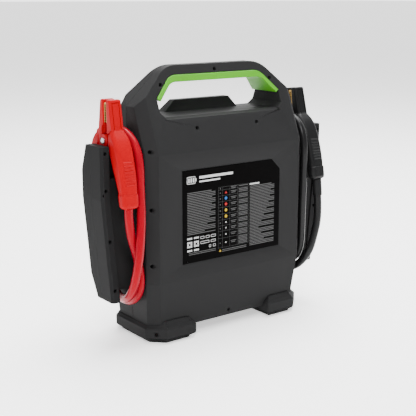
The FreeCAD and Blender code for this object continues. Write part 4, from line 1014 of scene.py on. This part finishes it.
@dataclass
class ClampHalf:
    """Moulded half of a booster clamp, drawn about its pivot in millimetres."""

    side: Side
    tip: float = 57.0
    jaw_back: float = 3.2
    jaw_half: float = 10.0
    jaw_depth: float = 20.0
    jaw_root: float = 9.0
    tip_lean: float = 7.5
    panel_margin: float = 1.3
    panel_depth: float = 1.3
    panel_groove: float = 0.9
    panel_wall: float = 0.15
    boss_radius: float = 9.5
    rib_count: int = 8
    rib_pitch: float = 4.3
    rib_first: float = -27.0
    rib_length: float = 15.0
    rib_radius: float = 1.15
    rib_proud: float = 0.35
    stations: tuple[tuple[float, float, float, float], ...] = (
        (18.0, -16.8, -9.5, 9.6), (13.0, -21.0, -9.5, 11.6), (6.5, -27.4, -9.6, 13.2),
        (-1.0, -33.0, -9.8, 13.6), (-10.0, -37.4, -10.6, 13.6), (-20.0, -40.6, -14.2, 13.6),
        (-30.0, -43.2, -18.2, 13.6), (-40.0, -45.4, -22.2, 13.6), (-50.0, -47.2, -26.4, 13.4),
        (-60.0, -48.8, -30.4, 13.2), (-70.0, -49.9, -33.8, 12.8),
        (-71.0, -50.9, -33.2, 13.5), (-91.0, -52.2, -35.4, 13.3),
    )

    def build(self, name: str) -> Piece:
        """Model the half.

        Args:
            name: object name.

        Returns:
            The half about its pivot, in metres, jaw up and handle on the -Y side.
        """
        parts = [self._jaw(), self._handle(), *self._ribs(), *self._cheeks()]
        half = Bench.join(parts, name)
        bpy.ops.object.shade_smooth_by_angle(angle=math.radians(38.0))
        return half

    def _jaw(self) -> Piece:
        """Tapered jaw with a grooved panel on its back."""
        jaw = Bench.block("jaw", (-self.jaw_half * MM, -self.jaw_depth * MM, self.jaw_root * MM),
                          (self.jaw_half * MM, -self.jaw_back * MM, self.tip * MM))
        Bench.shift_points(jaw, lambda p: p.z > 30 * MM and p.y < -10 * MM,
                           (0.0, self.tip_lean, 0.0))
        Bench.round_edges(jaw, 2.6 * MM, 4, 60.0)
        Bench.pick(jaw, "FACE", lambda f: (f.normal.y < -0.9 and abs(f.center.x) < 4 * MM
                                           and 24 * MM < f.center.z < 46 * MM))
        wall = self.panel_wall * MM
        bpy.ops.mesh.inset(thickness=self.panel_margin * MM)
        bpy.ops.mesh.inset(thickness=wall, depth=-self.panel_depth * MM)
        bpy.ops.mesh.inset(thickness=self.panel_groove * MM)
        bpy.ops.mesh.inset(thickness=wall, depth=self.panel_groove * MM)
        Bench.done()
        return jaw

    def _handle(self) -> Piece:
        """Rounded grip, drawn out section by section from the jaw's root."""
        first = self.stations[0]
        Bench.clear()
        bpy.ops.mesh.primitive_plane_add(
            size=1.0, location=(0.0, (first[1] + first[2]) / 2 * MM, first[0] * MM))
        bpy.context.object.scale = (2 * first[3] * MM, (first[2] - first[1]) * MM, 1.0)
        handle = Bench.settle("grip")
        Bench.edit(handle)
        before = first
        for station in self.stations[1:]:
            middle = (station[1] + station[2]) / 2
            shift = middle - (before[1] + before[2]) / 2
            bpy.ops.mesh.extrude_region_move(TRANSFORM_OT_translate={
                "value": (0.0, shift * MM, (station[0] - before[0]) * MM)})
            bpy.ops.transform.resize(
                value=(station[3] / before[3],
                       (station[2] - station[1]) / (before[2] - before[1]), 1.0),
                center_override=(0.0, middle * MM, station[0] * MM))
            before = station
        Bench.done()
        Bench.outward(handle)
        Bench.round_edges(handle, 6.0 * MM, 6, 60.0)
        return handle

    def _outer_y(self, z: float) -> float:
        """Outer face of the grip at a height."""
        for high, low in zip(self.stations[:-1], self.stations[1:]):
            if low[0] <= z <= high[0]:
                share = (high[0] - z) / (high[0] - low[0])
                return high[1] + (low[1] - high[1]) * share
        return self.stations[-1][1]

    def _ribs(self) -> list[Piece]:
        """Row of short thumb ribs across the grip."""
        made = []
        for k in range(self.rib_count):
            z = self.rib_first - self.rib_pitch * k
            middle = (0.0, (self._outer_y(z) + self.rib_proud) * MM, z * MM)
            rib = Bench.barrel(f"rib_{k}", middle, self.rib_radius * MM, self.rib_length * MM,
                               ACROSS, 16)
            Bench.round_edges(rib, 0.7 * MM, 2, 50.0, True)
            made.append(rib)
        return made

    def _cheeks(self) -> list[Piece]:
        """Two side plates with round bosses at the rivet."""
        inner, outer = (5.2, 8.7) if self.side is Side.CABLE else (9.1, 12.6)
        made = []
        for s in (-1, 1):
            middle = s * (inner + outer) / 2
            boss = Bench.barrel("boss", (middle * MM, 0.0, 0.0), self.boss_radius * MM,
                                (outer - inner) * MM, ACROSS, 48)
            Bench.round_edges(boss, 0.8 * MM, 2, 50.0, True)
            web = self._web(min(s * inner, s * outer), max(s * inner, s * outer))
            made += [boss, web]
        return made

    def _web(self, x0: float, x1: float) -> Piece:
        """Flat plate that ties jaw, grip and boss together."""
        plate = Bench.block("web", (x0 * MM, -20.0 * MM, -8.0 * MM),
                            (x1 * MM, -self.jaw_back * MM, 22.0 * MM))
        for low, high, move in (((-25, -30), (-15, 0), (0.0, -9.0, -14.0)),
                                ((-8, -30), (0, 0), (0.0, -3.5, -1.0)),
                                ((-25, 15), (-15, 30), (0.0, 2.0, -8.0))):
            Bench.shift_points(plate, lambda p: (low[0] * MM <= p.y <= high[0] * MM
                                                 and low[1] * MM <= p.z <= high[1] * MM), move)
        Bench.round_edges(plate, 0.6 * MM, 2, 50.0, True)
        return plate


@dataclass
class ClampPair:
    """Both parked clamps, from one drawn set of halves."""

    frame: dict
    paint: Paintbox
    out: float = 0.1774
    pivot_y: float = -0.010
    pivot_z: float = 0.301
    tilt: float = math.radians(6.0)

    def build(self) -> None:
        """Model each half once and stand a copy in for each CAD half."""
        flip_y = Matrix.Scale(-1.0, 4, (0.0, 1.0, 0.0))
        for side in Side:
            drawn = ClampHalf(side).build(f"clamp_{side.value}")
            if side is Side.LEVER:
                Bench.place(drawn, flip_y)
            for colour, look in (("red", Look.RED), ("black", Look.BLACK)):
                piece = Bench.twin(drawn, f"{colour}_{side.value}_moulding")
                Bench.place(piece, self._placing(colour))
                self.paint.cover(piece, look)
                stand_in(self.frame, piece, f"{colour}_clamp_{side.value}")
            bpy.data.objects.remove(drawn)

    def _placing(self, colour: str) -> Matrix:
        """Matrix from the pivot frame to the parked place."""
        if colour == "red":
            return Matrix.Translation((-self.out, self.pivot_y, self.pivot_z))
        tail = Vector((self.out, self.pivot_y - 0.044, self.pivot_z - 0.091))
        lean = (Matrix.Translation(tail) @ Matrix.Rotation(-self.tilt, 4, "X")
                @ Matrix.Translation(-tail))
        return (lean @ Matrix.Translation((self.out, self.pivot_y, self.pivot_z))
                @ Matrix.Scale(-1.0, 4, (1.0, 0.0, 0.0)))


# ------ the whole pack
PLAIN_FACED = ("left_holster", "right_holster")
SOFT_EDGES: dict[str, float] = {
    "rear_shell": 0.0006, "front_shell": 0.0006, "left_wing_front": 0.0004,
    "left_wing_rear": 0.0004, "right_wing_front": 0.0004, "right_wing_rear": 0.0004,
    "left_foot": 0.0012, "right_foot": 0.0012, "left_holster": 0.0008,
    "right_holster": 0.0008, "handle_grip": 0.0009, "port_door": 0.0004,
}


def clamp_nodes(colour: str) -> list[str]:
    """Names of every piece of one clamp."""
    kinds = ("cable_teeth", "lever_teeth", "rivet", "spring")
    return [*(f"{colour}_clamp_{kind}" for kind in kinds),
            *(f"{colour}_{side.value}_moulding" for side in Side)]


def main() -> None:
    """Build the pack's finish, one sub-assembly after another."""
    logging.basicConfig(level=logging.INFO, format="%(message)s")
    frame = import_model()
    Bench.clear()
    paint = Paintbox()
    Studio().build()
    for look, nodes in NODE_LOOKS.items():
        for node in nodes:
            paint.cover(frame["nodes"][node], look)
    shells = RoundedShells(frame)
    for node, width in SOFT_EDGES.items():
        shells.soften(node, width)
    ClampPair(frame, paint).build()
    LabelPrint(paint).build()
    ControlFace(frame, paint).build()
    BoosterCable("red_booster_cable", "red_cable", Look.RED_CORD, "red_cord", RED_ROUTE,
                 0.8862, clamp_nodes("red")).build(paint)
    BoosterCable("black_booster_cable", "black_cable", Look.BLACK_CORD, "black_cord",
                 BLACK_ROUTE, 0.8580, [*clamp_nodes("black"), "black_cable_sleeve"]).build(paint)


if __name__ == "__main__":
    main()
